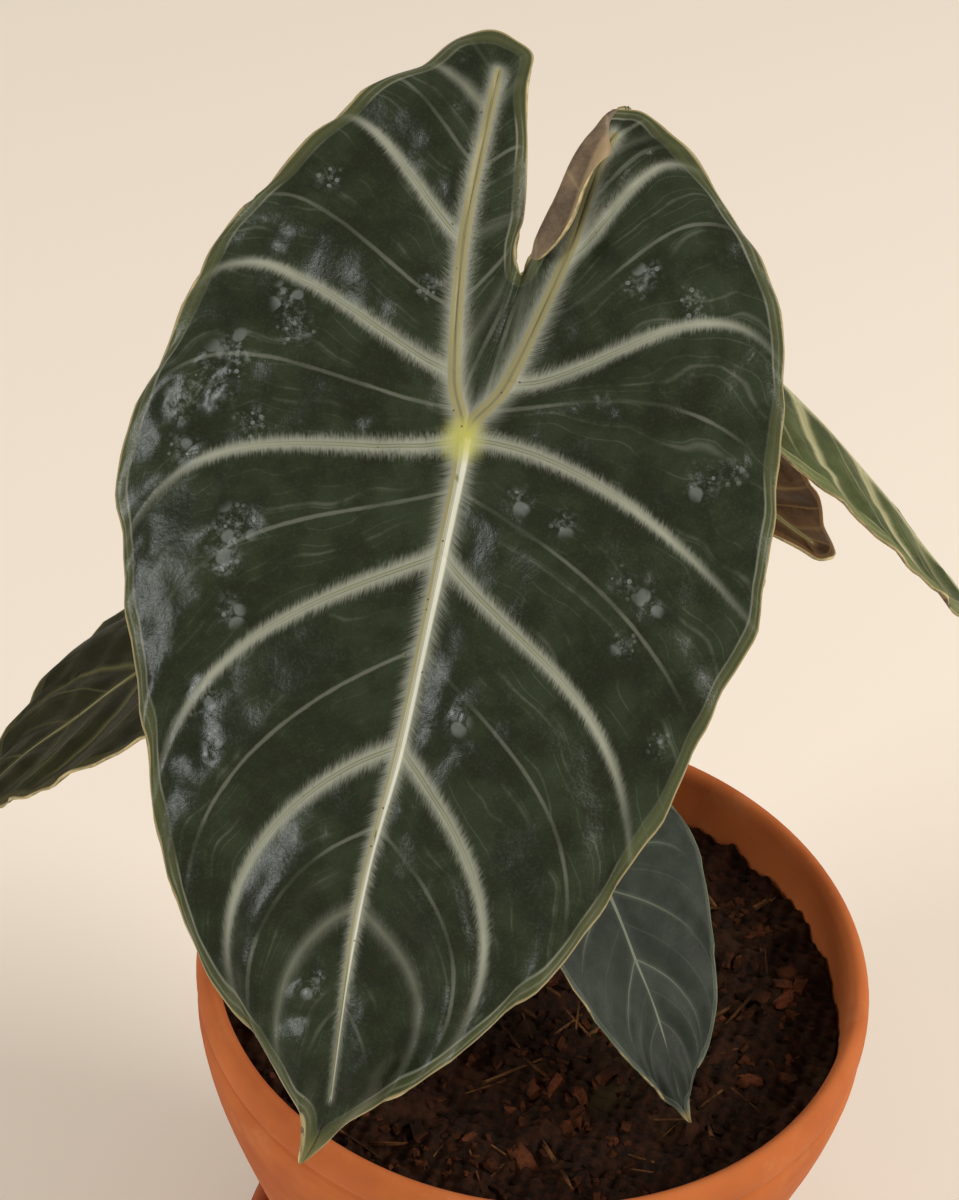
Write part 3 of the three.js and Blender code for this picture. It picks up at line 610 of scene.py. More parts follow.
def rolled_at(ring, t):
    """The flat blade with the right lobe's inner edge rolled up and back: x, y and height."""
    strength = (smooth_step(ROLL["from"], ROLL["full"], ring)
                * (1 - smooth_step(ROLL["fade"], ROLL["to"], ring)))
    vein, margin = main_vein_at(ring), margin_at(ring)
    side = VEINS[16, 0] / np.linalg.norm(VEINS[16, 0])
    width = np.abs((margin[..., 0] - vein[..., 0]) * side[1] - (margin[..., 1] - vein[..., 1]) * side[0])
    width = np.maximum(width, 0.5)
    radius = np.minimum(ROLL["radius"], width * 0.14)
    straight = width * (1 - (1 - ROLL["share"]) * strength)
    along = t * (width + ROLL["flap"] * strength)
    past = np.maximum(along - straight, 0)
    angle = np.minimum(past / radius, ROLL["angle"])
    rest = past - angle * radius
    out = np.where(past > 0, straight + radius * np.sin(angle) + rest * np.cos(angle), along) / width
    flat = flat_at(ring, np.where(strength > 0, out, t))
    height = np.where(strength > 0, radius * (1 - np.cos(angle)) + rest * np.sin(angle), 0)
    return flat, height


def leaf_axes(leaf):
    """Across the leaf, from tip to lobes, and out of its upper face."""
    heading, slope, bank = (math.radians(leaf[k]) for k in ("heading", "slope", "bank"))
    out = np.array([math.cos(heading), math.sin(heading), 0])
    rise = np.array([0, 0, 1])
    y = -out * math.cos(slope) + rise * math.sin(slope)
    face = out * math.sin(slope) + rise * math.cos(slope)
    x = np.cross(y, face)
    return x * math.cos(bank) - face * math.sin(bank), y, face * math.cos(bank) + x * math.sin(bank)


def to_line(points, line):
    """Each point's distance to the nearest stretch of a line."""
    start, step = line[:-1], np.diff(line, axis=0)
    reach = (step**2).sum(-1)
    nearest = np.full(len(points), 1e9)
    for first in range(0, len(points), 4000):
        some = points[first:first + 4000, None]
        u = np.clip(((some - start) * step).sum(-1) / np.maximum(reach, 1e-12), 0, 1)
        away = np.linalg.norm(some - start - u[..., None] * step, axis=-1)
        nearest[first:first + 4000] = away.min(1)
    return nearest


# where water has left a silver film, and where a pale sheen is painted on the highlights, in flat
# millimetres: across, along and reach
FILM_AND_SHEEN = [
    (-45.9, -0.3, 5), (-42.6, 6.5, 4.5), (-47.9, -12.8, 4), (-36.6, -5.1, 4), (-36.1, 17.8, 3.5),
    (-12.5, 24.3, 2.5), (-34, 39.4, 3), (-35.2, -23.2, 4.5), (-36.6, -30.2, 4), (-33, -38.3, 3),
    (-34.4, -53.7, 4.5), (-30.7, -61.7, 3), (23.4, 32.3, 2.5), (34.4, 32.1, 4), (25.8, 35.7, 2.5),
    (22.5, 11.9, 2), (42.8, 2.1, 4), (48.3, 5.4, 2.5), (12.5, -8.2, 3), (20.6, -10.1, 3), (33, -17.7, 3),
    (39.1, -20.7, 3), (10.4, -47.8, 3), (46, -44.1, 3), (-4.5, -98.8, 3), (35.9, -28.4, 3), (-33, 12, 4),
    (-51.1, -4.4, 3),
]


def blade_marks(ring, t, flat, size):
    """What the blade's colours follow: distances to its veins and edge in millimetres, and the
    strength of the nearest vein."""
    flatten = flat.reshape(-1, 2)
    rings = ring.ravel()
    steps = np.linspace(0, 1, 60)
    near = {"vein_mm": np.zeros(len(rings)), "side_mm": np.zeros(len(rings))}
    for k in range(RING):
        here = np.round(rings).astype(int) % RING == k
        if here.any():
            near["vein_mm"][here] = to_line(flatten[here], vein_at(np.full(60, k), steps))
        here = np.floor(rings).astype(int) % RING == k
        if here.any():
            near["side_mm"][here] = to_line(flatten[here], flat_at(np.full(60, k + 0.5), steps))
    main = [to_line(flatten, main_vein_at(np.linspace(a, b, 120))) for a, b in ((0, 8), (16, 20))]
    near["rib_mm"] = np.minimum(*main)
    near["edge_mm"] = to_line(flatten, margin_at(np.linspace(0, RING, 721)))
    near["hub_mm"] = np.linalg.norm(flatten, axis=-1)
    for key in near:
        near[key] = near[key] * size
    near["right_side"] = (rings >= 20).astype(float)
    near["ring"] = rings
    near["film_and_sheen"] = np.zeros(len(rings))
    inner = (np.round(rings) > 8) & (np.round(rings) < 16)
    strength = np.where(inner, 0.12, 1.0)
    for vein, share in ((0, 0), (1, 0.25), (23, 0.25), (7, 0.45), (17, 0.1), (8, 0), (12, 0), (16, 0)):
        strength[np.round(rings) % RING == vein] *= share
    near["vein_power"] = strength
    near["out"] = t.ravel()
    # the mask for the water spots and for the pale sheen painted where highlights fall
    for x, y, reach in FILM_AND_SHEEN:
        near["film_and_sheen"] += np.exp(-((flatten - (x, y)) ** 2).sum(-1) / reach**2)
    return near


FINE = {
    key: waves(30, low, high)
    for key, low, high in (("swell", 18, 60), ("pucker", 4, 9), ("grain", 1.6, 3.2))
}


def blade_height(leaf, ring, t, flat, up, near):
    """The blade's relief above its flat plan."""
    size = leaf["size"]
    across = flat[..., 0] * size * leaf["width"]
    fold = math.radians(leaf["fold"])
    valley = 3 * size
    span = length(margin_at(ring) - main_vein_at(ring))[..., 0]
    reach = np.minimum(1, span / 25)
    # the strip between the lobes' main veins stays flat
    inner = 1 - smooth_step(8.3, 9.3, ring) * (1 - smooth_step(14.7, 15.7, ring))
    pillow = np.sin(math.pi * ring) ** 2 * np.maximum(4 * t * (1 - t), 0) ** 0.7 * reach
    pillow = pillow * (0.12 + 0.88 * inner)
    height = ((np.hypot(across, valley) - valley) * math.sin(fold)
              - leaf["arch"] * size * (across / (HALF_WIDTH * size)) ** 2
              + leaf["quilt"] * size * pillow
              + leaf["wave"] * size * np.sin(2 * math.pi * ring * 0.37 + leaf["phase"]) * t**3
              + up * size)
    x, y = flat[..., 0] * size, flat[..., 1] * size
    inside = np.clip(near["edge_mm"].reshape(t.shape) / 4, 0, 1)
    rib = near["rib_mm"].reshape(t.shape)
    side = near["side_mm"].reshape(t.shape)
    off_rib = 1 - np.exp(-((rib / 3) ** 2))
    height += 0.5 * size * ripple(x, y, FINE["swell"])
    blister = 0.5 + 0.5 * np.clip(ripple(x, y, FINE["swell"]) + 0.3, 0, 1.5)
    height += 0.42 * size * blister * ripple(x, y, FINE["pucker"]) * inside * off_rib * inner
    film_and_sheen = np.minimum(near["film_and_sheen"].reshape(t.shape), 1)
    height += 0.8 * size * film_and_sheen * ripple(x, y, FINE["pucker"]) * inside * off_rib
    height += 0.07 * size * ripple(x, y, FINE["grain"]) * inside * off_rib * inner
    height -= 0.35 * size * np.exp(-((side / 1.3) ** 2)) * off_rib * inner * (1 - t) * inside
    taper = np.clip(1 - near["hub_mm"].reshape(t.shape) / 160, 0.15, 1)
    height += 0.55 * size * np.exp(-((rib / 1.25) ** 2)) * taper
    return height


def blade_points(leaf, ring, t):
    """The upper face in space, with its marks."""
    axes = leaf_axes(leaf)
    size = leaf["size"]
    flat, up = rolled_at(ring, t) if leaf["roll"] else (flat_at(ring, t), np.zeros_like(t))
    near = blade_marks(ring, t, flat, size)
    wide, forward, back = leaf.get("stretch", (1, 1, 1))
    flat = flat * np.stack([np.full_like(t, wide), np.where(flat[..., 1] > 0, back, forward)], axis=-1)
    open_edge = np.clip(t, 0, 1) ** 6 * (1 - smooth_step(8, 9, ring) * (1 - smooth_step(16, 17, ring)))
    hub = near["hub_mm"].reshape(t.shape)
    open_edge = open_edge * np.clip(hub / 60, 0, 1) * smooth_step(0, 0.8, 12 - np.abs(12 - ring))
    rings = np.linspace(0, RING, 961)
    steps = np.linalg.norm(np.diff(margin_at(rings), axis=0), axis=-1)
    turn = np.interp(ring, rings, np.concatenate([[0], np.cumsum(steps)])) * 2 * math.pi
    scallop = 0.45 * np.sin(turn / 33 + 1) + 0.3 * np.sin(turn / 18 + 2) + 0.14 * np.sin(turn / 9.5 + 0.5)
    flat = flat * (1 + open_edge * scallop / np.maximum(hub / size, 20))[..., None]
    height = blade_height(leaf, ring, t, flat, up, near)
    height += size * open_edge * (0.7 * np.sin(turn / 26) + 0.45 * np.sin(turn / 14 + 1))
    side = -1 if leaf["mirror"] else 1
    across = flat[..., 0] * size * leaf["width"] * side * math.cos(math.radians(leaf["fold"]))
    along = flat[..., 1] * size * np.where(flat[..., 1] > 0, leaf["lobes"], 1)
    bend = np.where(along < 0, math.radians(leaf["tip_bend"]) / (TIP_REACH * size),
                    math.radians(leaf["lobe_bend"]) / (LOBE_REACH * size))
    turn = along * bend
    place = (np.array(leaf["hub"]) + across[..., None] * axes[0]
             + (np.sin(turn) / bend + height * np.sin(turn))[..., None] * axes[1]
             + ((np.cos(turn) - 1) / bend + height * np.cos(turn))[..., None] * axes[2])
    return place, near


BLADE_THICKNESS = 0.6


def grow_blade(name, leaf, materials):
    """One blade: a grid drawn round the leaf, joined along the main veins, then given its thickness
    and its ribs underneath."""
    start_piece()
    columns, rows = RING * leaf["columns"], leaf["rows"]
    bpy.ops.mesh.primitive_grid_add(x_subdivisions=columns, y_subdivisions=rows, size=2)
    piece = bpy.context.object
    piece.name = piece.data.name = "leaf_" + name
    mesh = piece.data
    grid = read_points(mesh) * MM
    ring = (grid[:, 0] + 1) / 2 * RING
    t = (grid[:, 1] + 1) / 2
    t = t - 0.08 * np.sin(2 * math.pi * t)
    place, near = blade_points(leaf, ring, t)
    write_points(mesh, place)
    for key, values in near.items():
        mesh.attributes.new(key, "FLOAT", "POINT").data.foreach_set("value", values.astype(np.float32))
    bpy.ops.object.mode_set(mode="EDIT")
    bpy.ops.mesh.select_all(action="SELECT")
    bpy.ops.mesh.remove_doubles(threshold=0.00002)
    if leaf["mirror"]:
        bpy.ops.mesh.select_all(action="SELECT")
        bpy.ops.mesh.flip_normals()
    bpy.ops.object.mode_set(mode="OBJECT")
    normals = np.zeros(len(mesh.vertices) * 3)
    mesh.vertices.foreach_get("normal", normals)
    if (normals.reshape(-1, 3) @ leaf_axes(leaf)[2]).mean() < 0:
        bpy.ops.object.mode_set(mode="EDIT")
        bpy.ops.mesh.select_all(action="SELECT")
        bpy.ops.mesh.flip_normals()
        bpy.ops.object.mode_set(mode="OBJECT")
    for material in materials:
        mesh.materials.append(material)
    wall = piece.modifiers.new("thickness", "SOLIDIFY")
    wall.thickness = BLADE_THICKNESS * MM
    wall.offset = 0
    wall.material_offset = 1
    wall.material_offset_rim = 2
    bpy.ops.object.modifier_apply(modifier="thickness")
    mesh = piece.data
    # the ribs stand out of the underside
    half = len(mesh.vertices) // 2
    points = read_points(mesh)
    marks = {}
    for key in ("rib_mm", "vein_mm", "hub_mm", "out", "vein_power"):
        values = np.zeros(len(mesh.vertices), np.float32)
        mesh.attributes[key].data.foreach_get("value", values)
        marks[key] = values
    size = leaf["size"]
    out = points[half:] - points[:half]
    out /= np.maximum(length(out), 1e-6)
    taper = np.clip(1 - marks["hub_mm"] / (150 * size), 0.2, 1)
    main_rib = 1.1 * taper * np.exp(-((marks["rib_mm"] / (1.5 * size * taper + 0.3)) ** 2))
    side_rib = 0.45 * marks["vein_power"] * (1 - marks["out"])
    side_rib = side_rib * np.exp(-((marks["vein_mm"] / (0.8 * size)) ** 2))
    points[half:] += out * ((main_rib + side_rib) * size)[half:, None]
    write_points(mesh, points)
    bpy.ops.object.shade_smooth()
    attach(piece, "root")
    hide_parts("blade_" + name)
    return piece


def face_material(name, look):
    """Upper face of a leaf: waxy and dark between pale, feathered veins, with a fine marginal vein
    and an olive hem. look holds the colours, and how wide and strong the pale veins are."""
    material, tree, shader = new_material(name)
    place = add(tree, "ShaderNodeTexCoord").outputs["Object"]
    vein, side, rib, edge, hub, power, out, right_side, ring, film_and_sheen = (
        add(tree, "ShaderNodeAttribute", output="Fac", attribute_name=key)
        for key in ("vein_mm", "side_mm", "rib_mm", "edge_mm", "hub_mm",
                    "vein_power", "out", "right_side", "ring", "film_and_sheen"))
    size = look["size"]

    # ground: deep green with soft blotches of 8 mm, and a fine net of cells of 0.5 mm
    blotch = add(tree, "ShaderNodeTexNoise", {"Vector": place, "Scale": 110, "Detail": 4, "Roughness": 0.6})
    cells = add(tree, "ShaderNodeTexNoise", {"Vector": place, "Scale": 1900, "Detail": 3, "Roughness": 0.7})
    colour = add(tree, "ShaderNodeMix", {
        0: add(tree, "ShaderNodeMapRange", {
            0: blotch.outputs[0], 1: 0.35, 2: 0.68}, 0, interpolation_type="SMOOTHSTEP"),
        6: look["deep"], 7: look["ground"]}, 2, data_type="RGBA")
    colour = add(tree, "ShaderNodeMix", {
        0: add(tree, "ShaderNodeMapRange", {
            0: cells.outputs[0], 1: 0.5, 2: 0.75, 3: 0, 4: 0.3}, 0, interpolation_type="SMOOTHSTEP"),
        6: colour, 7: look["fleck"]}, 2, data_type="RGBA")

    # fine veins between the others: they run out from the main vein, waver, and come and go
    waver = add(tree, "ShaderNodeTexNoise", {"Vector": place, "Scale": 60, "Detail": 1.5, "Roughness": 0.5})
    for count, strength in ((3, 0.42), (8, 0.28)):
        turns = add(tree, "ShaderNodeMath", {
            0: add(tree, "ShaderNodeMath", {
                0: ring,
                1: add(tree, "ShaderNodeMath", {
                    0: waver.outputs[0], 1: 0.42}, 0, operation="MULTIPLY")}, 0, operation="ADD"),
            1: count}, 0, operation="MULTIPLY")
        away = add(tree, "ShaderNodeMath", {
            0: add(tree, "ShaderNodeMath", {
                0: add(tree, "ShaderNodeMath", {0: turns}, 0, operation="FRACT"),
                1: 0.5}, 0, operation="SUBTRACT")}, 0, operation="ABSOLUTE")
        fine = add(tree, "ShaderNodeMapRange", {
            0: away, 1: 0.0, 2: 0.055, 3: 1, 4: 0}, 0, interpolation_type="SMOOTHSTEP")
        seen = add(tree, "ShaderNodeMapRange", {
            0: blotch.outputs[0], 1: 0.42, 2: 0.66, 3: 0.05, 4: 1}, 0, interpolation_type="SMOOTHSTEP")
        seen = add(tree, "ShaderNodeMath", {
            0: seen,
            1: add(tree, "ShaderNodeMapRange", {
                0: out, 1: 0.08, 2: 0.3}, 0, interpolation_type="SMOOTHSTEP")}, 0, operation="MULTIPLY")
        colour = add(tree, "ShaderNodeMix", {
            0: add(tree, "ShaderNodeMath", {
                0: add(tree, "ShaderNodeMath", {0: fine, 1: seen}, 0, operation="MULTIPLY"),
                1: look["thin"] * strength}, 0, operation="MULTIPLY"),
            6: colour, 7: look["halo"]}, 2, data_type="RGBA")

    # strokes 0.35 mm apart: beside a side vein they are fine along it, beside a main vein round the ring
    across_side = add(tree, "ShaderNodeCombineXYZ", {
        0: add(tree, "ShaderNodeMath", {0: out, 1: 260}, 0, operation="MULTIPLY"),
        1: add(tree, "ShaderNodeMath", {0: ring, 1: 12}, 0, operation="MULTIPLY")})
    across_main = add(tree, "ShaderNodeCombineXYZ", {
        0: add(tree, "ShaderNodeMath", {0: ring, 1: 130}, 0, operation="MULTIPLY"),
        1: add(tree, "ShaderNodeMath", {0: out, 1: 14}, 0, operation="MULTIPLY")})
    fur_side = add(tree, "ShaderNodeTexNoise", {
        "Vector": across_side.outputs[0], "Scale": 1, "Detail": 2, "Distortion": 0.6})
    fur_main = add(tree, "ShaderNodeTexNoise", {
        "Vector": across_main.outputs[0], "Scale": 1, "Detail": 2, "Distortion": 0.6})
    soft = add(tree, "ShaderNodeTexNoise", {"Vector": place, "Scale": 330, "Detail": 2, "Roughness": 0.6})

    # thin veins midway between the strong ones
    line = add(tree, "ShaderNodeMapRange", {
        0: add(tree, "ShaderNodeMath", {
            0: side,
            1: add(tree, "ShaderNodeMath", {
                0: soft.outputs[0], 1: 0.3}, 0, operation="MULTIPLY")}, 0, operation="SUBTRACT"),
        1: 0.0, 2: 0.34 * size, 3: 1, 4: 0}, 0, interpolation_type="SMOOTHSTEP")
    line = add(tree, "ShaderNodeMath", {
        0: line,
        1: add(tree, "ShaderNodeMapRange", {
            0: waver.outputs[0], 1: 0.38, 2: 0.58, 3: 0.15,
            4: 0.8}, 0, interpolation_type="SMOOTHSTEP")}, 0, operation="MULTIPLY")
    line = add(tree, "ShaderNodeMath", {
        0: line,
        1: add(tree, "ShaderNodeMapRange", {
            0: out, 1: 0.7, 2: 0.96, 3: 1,
            4: 0}, 0, interpolation_type="SMOOTHSTEP")}, 0, operation="MULTIPLY")
    line = add(tree, "ShaderNodeMath", {
        0: line,
        1: add(tree, "ShaderNodeMapRange", {
            0: hub, 1: 100 * size, 2: 112 * size, 3: 1,
            4: 0}, 0, interpolation_type="SMOOTHSTEP")}, 0, operation="MULTIPLY")
    colour = add(tree, "ShaderNodeMix", {
        0: add(tree, "ShaderNodeMath", {0: line, 1: look["thin"]}, 0, operation="MULTIPLY"), 6: colour,
        7: look["halo"]}, 2, data_type="RGBA")

    # strong side veins: a pale halo that narrows and fades outwards, over an olive core of fine lines
    width = add(tree, "ShaderNodeMapRange", {
        0: out, 1: 0, 2: 1, 3: 2.7 * size, 4: 1.0 * size}, 0, interpolation_type="LINEAR")
    reach = add(tree, "ShaderNodeMath", {
        0: width,
        1: add(tree, "ShaderNodeMapRange", {
            0: fur_side.outputs[0], 1: 0.3, 2: 0.7, 3: 0.75,
            4: 1.45}, 0, interpolation_type="LINEAR")}, 0, operation="MULTIPLY")
    halo = add(tree, "ShaderNodeMapRange", {
        0: add(tree, "ShaderNodeMath", {0: vein, 1: reach}, 0, operation="DIVIDE"), 1: 0.0, 2: 1.15, 3: 1,
        4: 0}, 0, interpolation_type="SMOOTHSTEP")
    halo = add(tree, "ShaderNodeMath", {
        0: add(tree, "ShaderNodeMath", {0: halo, 1: 1.6}, 0, operation="POWER"),
        1: add(tree, "ShaderNodeMath", {
            0: power, 1: look["strong"]}, 0, operation="MULTIPLY")}, 0, operation="MULTIPLY")
    halo = add(tree, "ShaderNodeMath", {
        0: halo,
        1: add(tree, "ShaderNodeMapRange", {
            0: out, 1: 0.66, 2: 0.95, 3: 1,
            4: 0.2}, 0, interpolation_type="SMOOTHSTEP")}, 0, operation="MULTIPLY")
    colour = add(tree, "ShaderNodeMix", {0: halo, 6: colour, 7: look["halo"]}, 2, data_type="RGBA")
    core = add(tree, "ShaderNodeMath", {
        0: add(tree, "ShaderNodeMapRange", {
            0: vein, 1: 0.25 * size, 2: 0.6 * size, 3: 1, 4: 0}, 0, interpolation_type="SMOOTHSTEP"),
        1: power}, 0, operation="MULTIPLY")
    core = add(tree, "ShaderNodeMath", {
        0: core,
        1: add(tree, "ShaderNodeMapRange", {
            0: out, 1: 0.2, 2: 0.9, 3: 0.7,
            4: 0}, 0, interpolation_type="SMOOTHSTEP")}, 0, operation="MULTIPLY")
    colour = add(tree, "ShaderNodeMix", {0: core, 6: colour, 7: look["core"]}, 2, data_type="RGBA")
    groove = add(tree, "ShaderNodeMath", {
        0: add(tree, "ShaderNodeMath", {
            0: vein, 1: 0.26 * size}, 0, operation="SUBTRACT")}, 0, operation="ABSOLUTE")
    groove = add(tree, "ShaderNodeMath", {
        0: add(tree, "ShaderNodeMapRange", {
            0: groove, 1: 0.02, 2: 0.12 * size, 3: 0.75, 4: 0}, 0, interpolation_type="SMOOTHSTEP"),
        1: power}, 0, operation="MULTIPLY")
    groove = add(tree, "ShaderNodeMath", {
        0: groove,
        1: add(tree, "ShaderNodeMapRange", {
            0: out, 1: 0.1, 2: 0.75, 3: 0.8,
            4: 0}, 0, interpolation_type="SMOOTHSTEP")}, 0, operation="MULTIPLY")
    colour = add(tree, "ShaderNodeMix", {0: groove, 6: colour, 7: look["line"]}, 2, data_type="RGBA")

    # midrib and the main veins of the lobes, with a highlight painted on the midrib's right flank
    reach = add(tree, "ShaderNodeMapRange", {
        0: hub, 1: 0, 2: 130 * size, 3: 3.9 * size, 4: 1.0 * size}, 0, interpolation_type="LINEAR")
    reach = add(tree, "ShaderNodeMath", {
        0: reach,
        1: add(tree, "ShaderNodeMapRange", {
            0: fur_main.outputs[0], 1: 0.3, 2: 0.7, 3: 0.75,
            4: 1.45}, 0, interpolation_type="LINEAR")}, 0, operation="MULTIPLY")
    rib_halo = add(tree, "ShaderNodeMath", {
        0: add(tree, "ShaderNodeMapRange", {
            0: add(tree, "ShaderNodeMath", {0: rib, 1: reach}, 0, operation="DIVIDE"), 1: 0.0, 2: 1.15,
            3: 1, 4: 0}, 0, interpolation_type="SMOOTHSTEP"),
        1: 1.7}, 0, operation="POWER")
    rib_halo = add(tree, "ShaderNodeMath", {
        0: rib_halo,
        1: add(tree, "ShaderNodeMapRange", {
            0: hub, 1: 95 * size, 2: 130 * size, 3: 1,
            4: 0.3}, 0, interpolation_type="SMOOTHSTEP")}, 0, operation="MULTIPLY")
    colour = add(tree, "ShaderNodeMix", {
        0: add(tree, "ShaderNodeMath", {0: rib_halo, 1: look["strong"]}, 0, operation="MULTIPLY"),
        6: colour, 7: look["halo"]}, 2, data_type="RGBA")
    core_width = add(tree, "ShaderNodeMapRange", {
        0: hub, 1: 0, 2: 125 * size, 3: 1.25 * size, 4: 0.3 * size}, 0, interpolation_type="LINEAR")
    rib_core = add(tree, "ShaderNodeMapRange", {
        0: add(tree, "ShaderNodeMath", {0: rib, 1: core_width}, 0, operation="DIVIDE"), 1: 0.75, 2: 1.15,
        3: 1, 4: 0}, 0, interpolation_type="SMOOTHSTEP")
    rib_core = add(tree, "ShaderNodeMath", {
        0: rib_core,
        1: add(tree, "ShaderNodeMapRange", {
            0: hub, 1: 95 * size, 2: 130 * size, 3: 1,
            4: 0.3}, 0, interpolation_type="SMOOTHSTEP")}, 0, operation="MULTIPLY")
    # the midrib's core: the rib's olive on its left flank, and a painted highlight on its right flank, where
    # light from the right falls
    colour = add(tree, "ShaderNodeMix", {
        0: rib_core, 6: colour,
        7: add(tree, "ShaderNodeMix", {
            0: right_side, 6: look["rib_left"],
            7: look["rib_right_highlight"]}, 2, data_type="RGBA")}, 2, data_type="RGBA")
    crease = add(tree, "ShaderNodeMath", {
        0: add(tree, "ShaderNodeMath", {
            0: rib, 1: 0.12 * size}, 0, operation="SUBTRACT")}, 0, operation="ABSOLUTE")
    colour = add(tree, "ShaderNodeMix", {
        0: add(tree, "ShaderNodeMapRange", {
            0: crease, 1: 0.02, 2: 0.2 * size, 3: 0.5, 4: 0}, 0, interpolation_type="SMOOTHSTEP"),
        6: colour, 7: look["line"]}, 2, data_type="RGBA")

    # yellow green where the stalk joins
    joint = add(tree, "ShaderNodeMath", {
        0: hub,
        1: add(tree, "ShaderNodeMath", {
            0: soft.outputs[0], 1: 2}, 0, operation="MULTIPLY")}, 0, operation="ADD")
    colour = add(tree, "ShaderNodeMix", {
        0: add(tree, "ShaderNodeMapRange", {
            0: joint, 1: 1.6, 2: 6.5 * size, 3: 0.85, 4: 0}, 0, interpolation_type="SMOOTHSTEP"),
        6: colour, 7: look["hub"]}, 2, data_type="RGBA")

    # hem: an olive band 2.4 mm wide between the marginal vein and a thin pale edge
    worn = add(tree, "ShaderNodeMapRange", {
        0: waver.outputs[0], 1: 0.4, 2: 0.62, 3: 0.15, 4: 1}, 0, interpolation_type="SMOOTHSTEP")
    hem = add(tree, "ShaderNodeMath", {
        0: edge,
        1: add(tree, "ShaderNodeMath", {
            0: add(tree, "ShaderNodeMath", {0: waver.outputs[0], 1: 0.5}, 0, operation="SUBTRACT"),
            1: 1.6 * size}, 0, operation="MULTIPLY")}, 0, operation="ADD")
    colour = add(tree, "ShaderNodeMix", {
        0: add(tree, "ShaderNodeMapRange", {
            0: hem, 1: 1.3 * size, 2: 2.6 * size, 3: 0.5, 4: 0}, 0, interpolation_type="SMOOTHSTEP"),
        6: colour, 7: look["hem"]}, 2, data_type="RGBA")
    marginal = add(tree, "ShaderNodeMath", {
        0: add(tree, "ShaderNodeMath", {
            0: hem, 1: 2.1 * size}, 0, operation="SUBTRACT")}, 0, operation="ABSOLUTE")
    marginal = add(tree, "ShaderNodeMath", {
        0: add(tree, "ShaderNodeMapRange", {
            0: marginal, 1: 0.0, 2: 0.34 * size, 3: 0.42, 4: 0}, 0, interpolation_type="SMOOTHSTEP"),
        1: worn}, 0, operation="MULTIPLY")
    colour = add(tree, "ShaderNodeMix", {0: marginal, 6: colour, 7: look["halo"]}, 2, data_type="RGBA")
    marginal = add(tree, "ShaderNodeMath", {
        0: add(tree, "ShaderNodeMath", {
            0: hem, 1: 1.0 * size}, 0, operation="SUBTRACT")}, 0, operation="ABSOLUTE")
    colour = add(tree, "ShaderNodeMix", {
        0: add(tree, "ShaderNodeMath", {
            0: add(tree, "ShaderNodeMapRange", {
                0: marginal, 1: 0.0, 2: 0.25 * size, 3: 0.25, 4: 0}, 0, interpolation_type="SMOOTHSTEP"),
            1: worn}, 0, operation="MULTIPLY"),
        6: colour, 7: look["halo"]}, 2, data_type="RGBA")
    colour = add(tree, "ShaderNodeMix", {
        0: add(tree, "ShaderNodeMapRange", {
            0: edge, 1: 0.1, 2: 0.4, 3: 0.85, 4: 0}, 0, interpolation_type="SMOOTHSTEP"),
        6: colour, 7: look["edge"]}, 2, data_type="RGBA")

    colour = add(tree, "ShaderNodeMix", {
        0: add(tree, "ShaderNodeMapRange", {
            0: hub, 1: 124 * size, 2: 131 * size, 3: 0, 4: 0.75}, 0, interpolation_type="SMOOTHSTEP"),
        6: colour, 7: look["tip"]}, 2, data_type="RGBA")

    # silver film and painted sheen: pale clouds that are painted sheen, and in them round water spots of 1
    # to 5 mm and dust of 0.3 mm
    cloud = add(tree, "ShaderNodeTexNoise", {"Vector": place, "Scale": 520, "Detail": 5, "Roughness": 0.8})
    spots = add(tree, "ShaderNodeTexVoronoi", {"Vector": place, "Scale": 230, "Randomness": 1.0})
    small = add(tree, "ShaderNodeTexVoronoi", {"Vector": place, "Scale": 620, "Randomness": 1.0})
    silver_and_sheen = add(tree, "ShaderNodeMath", {
        0: add(tree, "ShaderNodeMapRange", {
            0: cloud.outputs[0], 1: 0.46, 2: 0.66, 3: 0, 4: 0.4}, 0, interpolation_type="SMOOTHSTEP"),
        1: add(tree, "ShaderNodeMapRange", {
            0: film_and_sheen, 1: 0.3, 2: 1.0}, 0, interpolation_type="SMOOTHSTEP")}, 0, operation="MULTIPLY")
    for cell, size_here, strength in ((spots, 0.42, 0.38), (small, 0.32, 0.45)):
        kept = add(tree, "ShaderNodeMapRange", {
            0: add(tree, "ShaderNodeSeparateColor", {0: cell.outputs["Color"]}).outputs[0], 1: 0.45,
            2: 0.5}, 0, interpolation_type="SMOOTHSTEP")
        disc = add(tree, "ShaderNodeMapRange", {
            0: cell.outputs["Distance"], 1: size_here * 0.75, 2: size_here, 3: strength,
            4: 0}, 0, interpolation_type="SMOOTHSTEP")
        disc = add(tree, "ShaderNodeMath", {
            0: add(tree, "ShaderNodeMath", {0: disc, 1: kept}, 0, operation="MULTIPLY"),
            1: add(tree, "ShaderNodeMapRange", {
                0: film_and_sheen, 1: 0.3, 2: 0.8}, 0, interpolation_type="SMOOTHSTEP")}, 0, operation="MULTIPLY")
        silver_and_sheen = add(tree, "ShaderNodeMath", {0: silver_and_sheen, 1: disc}, 0, operation="MAXIMUM")
    silver_and_sheen = add(tree, "ShaderNodeMath", {0: silver_and_sheen, 1: look["film_and_sheen"]}, 0, operation="MULTIPLY")
    # the pale grey blue is partly water residue and partly painted sheen
    colour = add(tree, "ShaderNodeMix", {0: silver_and_sheen, 6: colour, 7: "#8b9390"}, 2, data_type="RGBA")

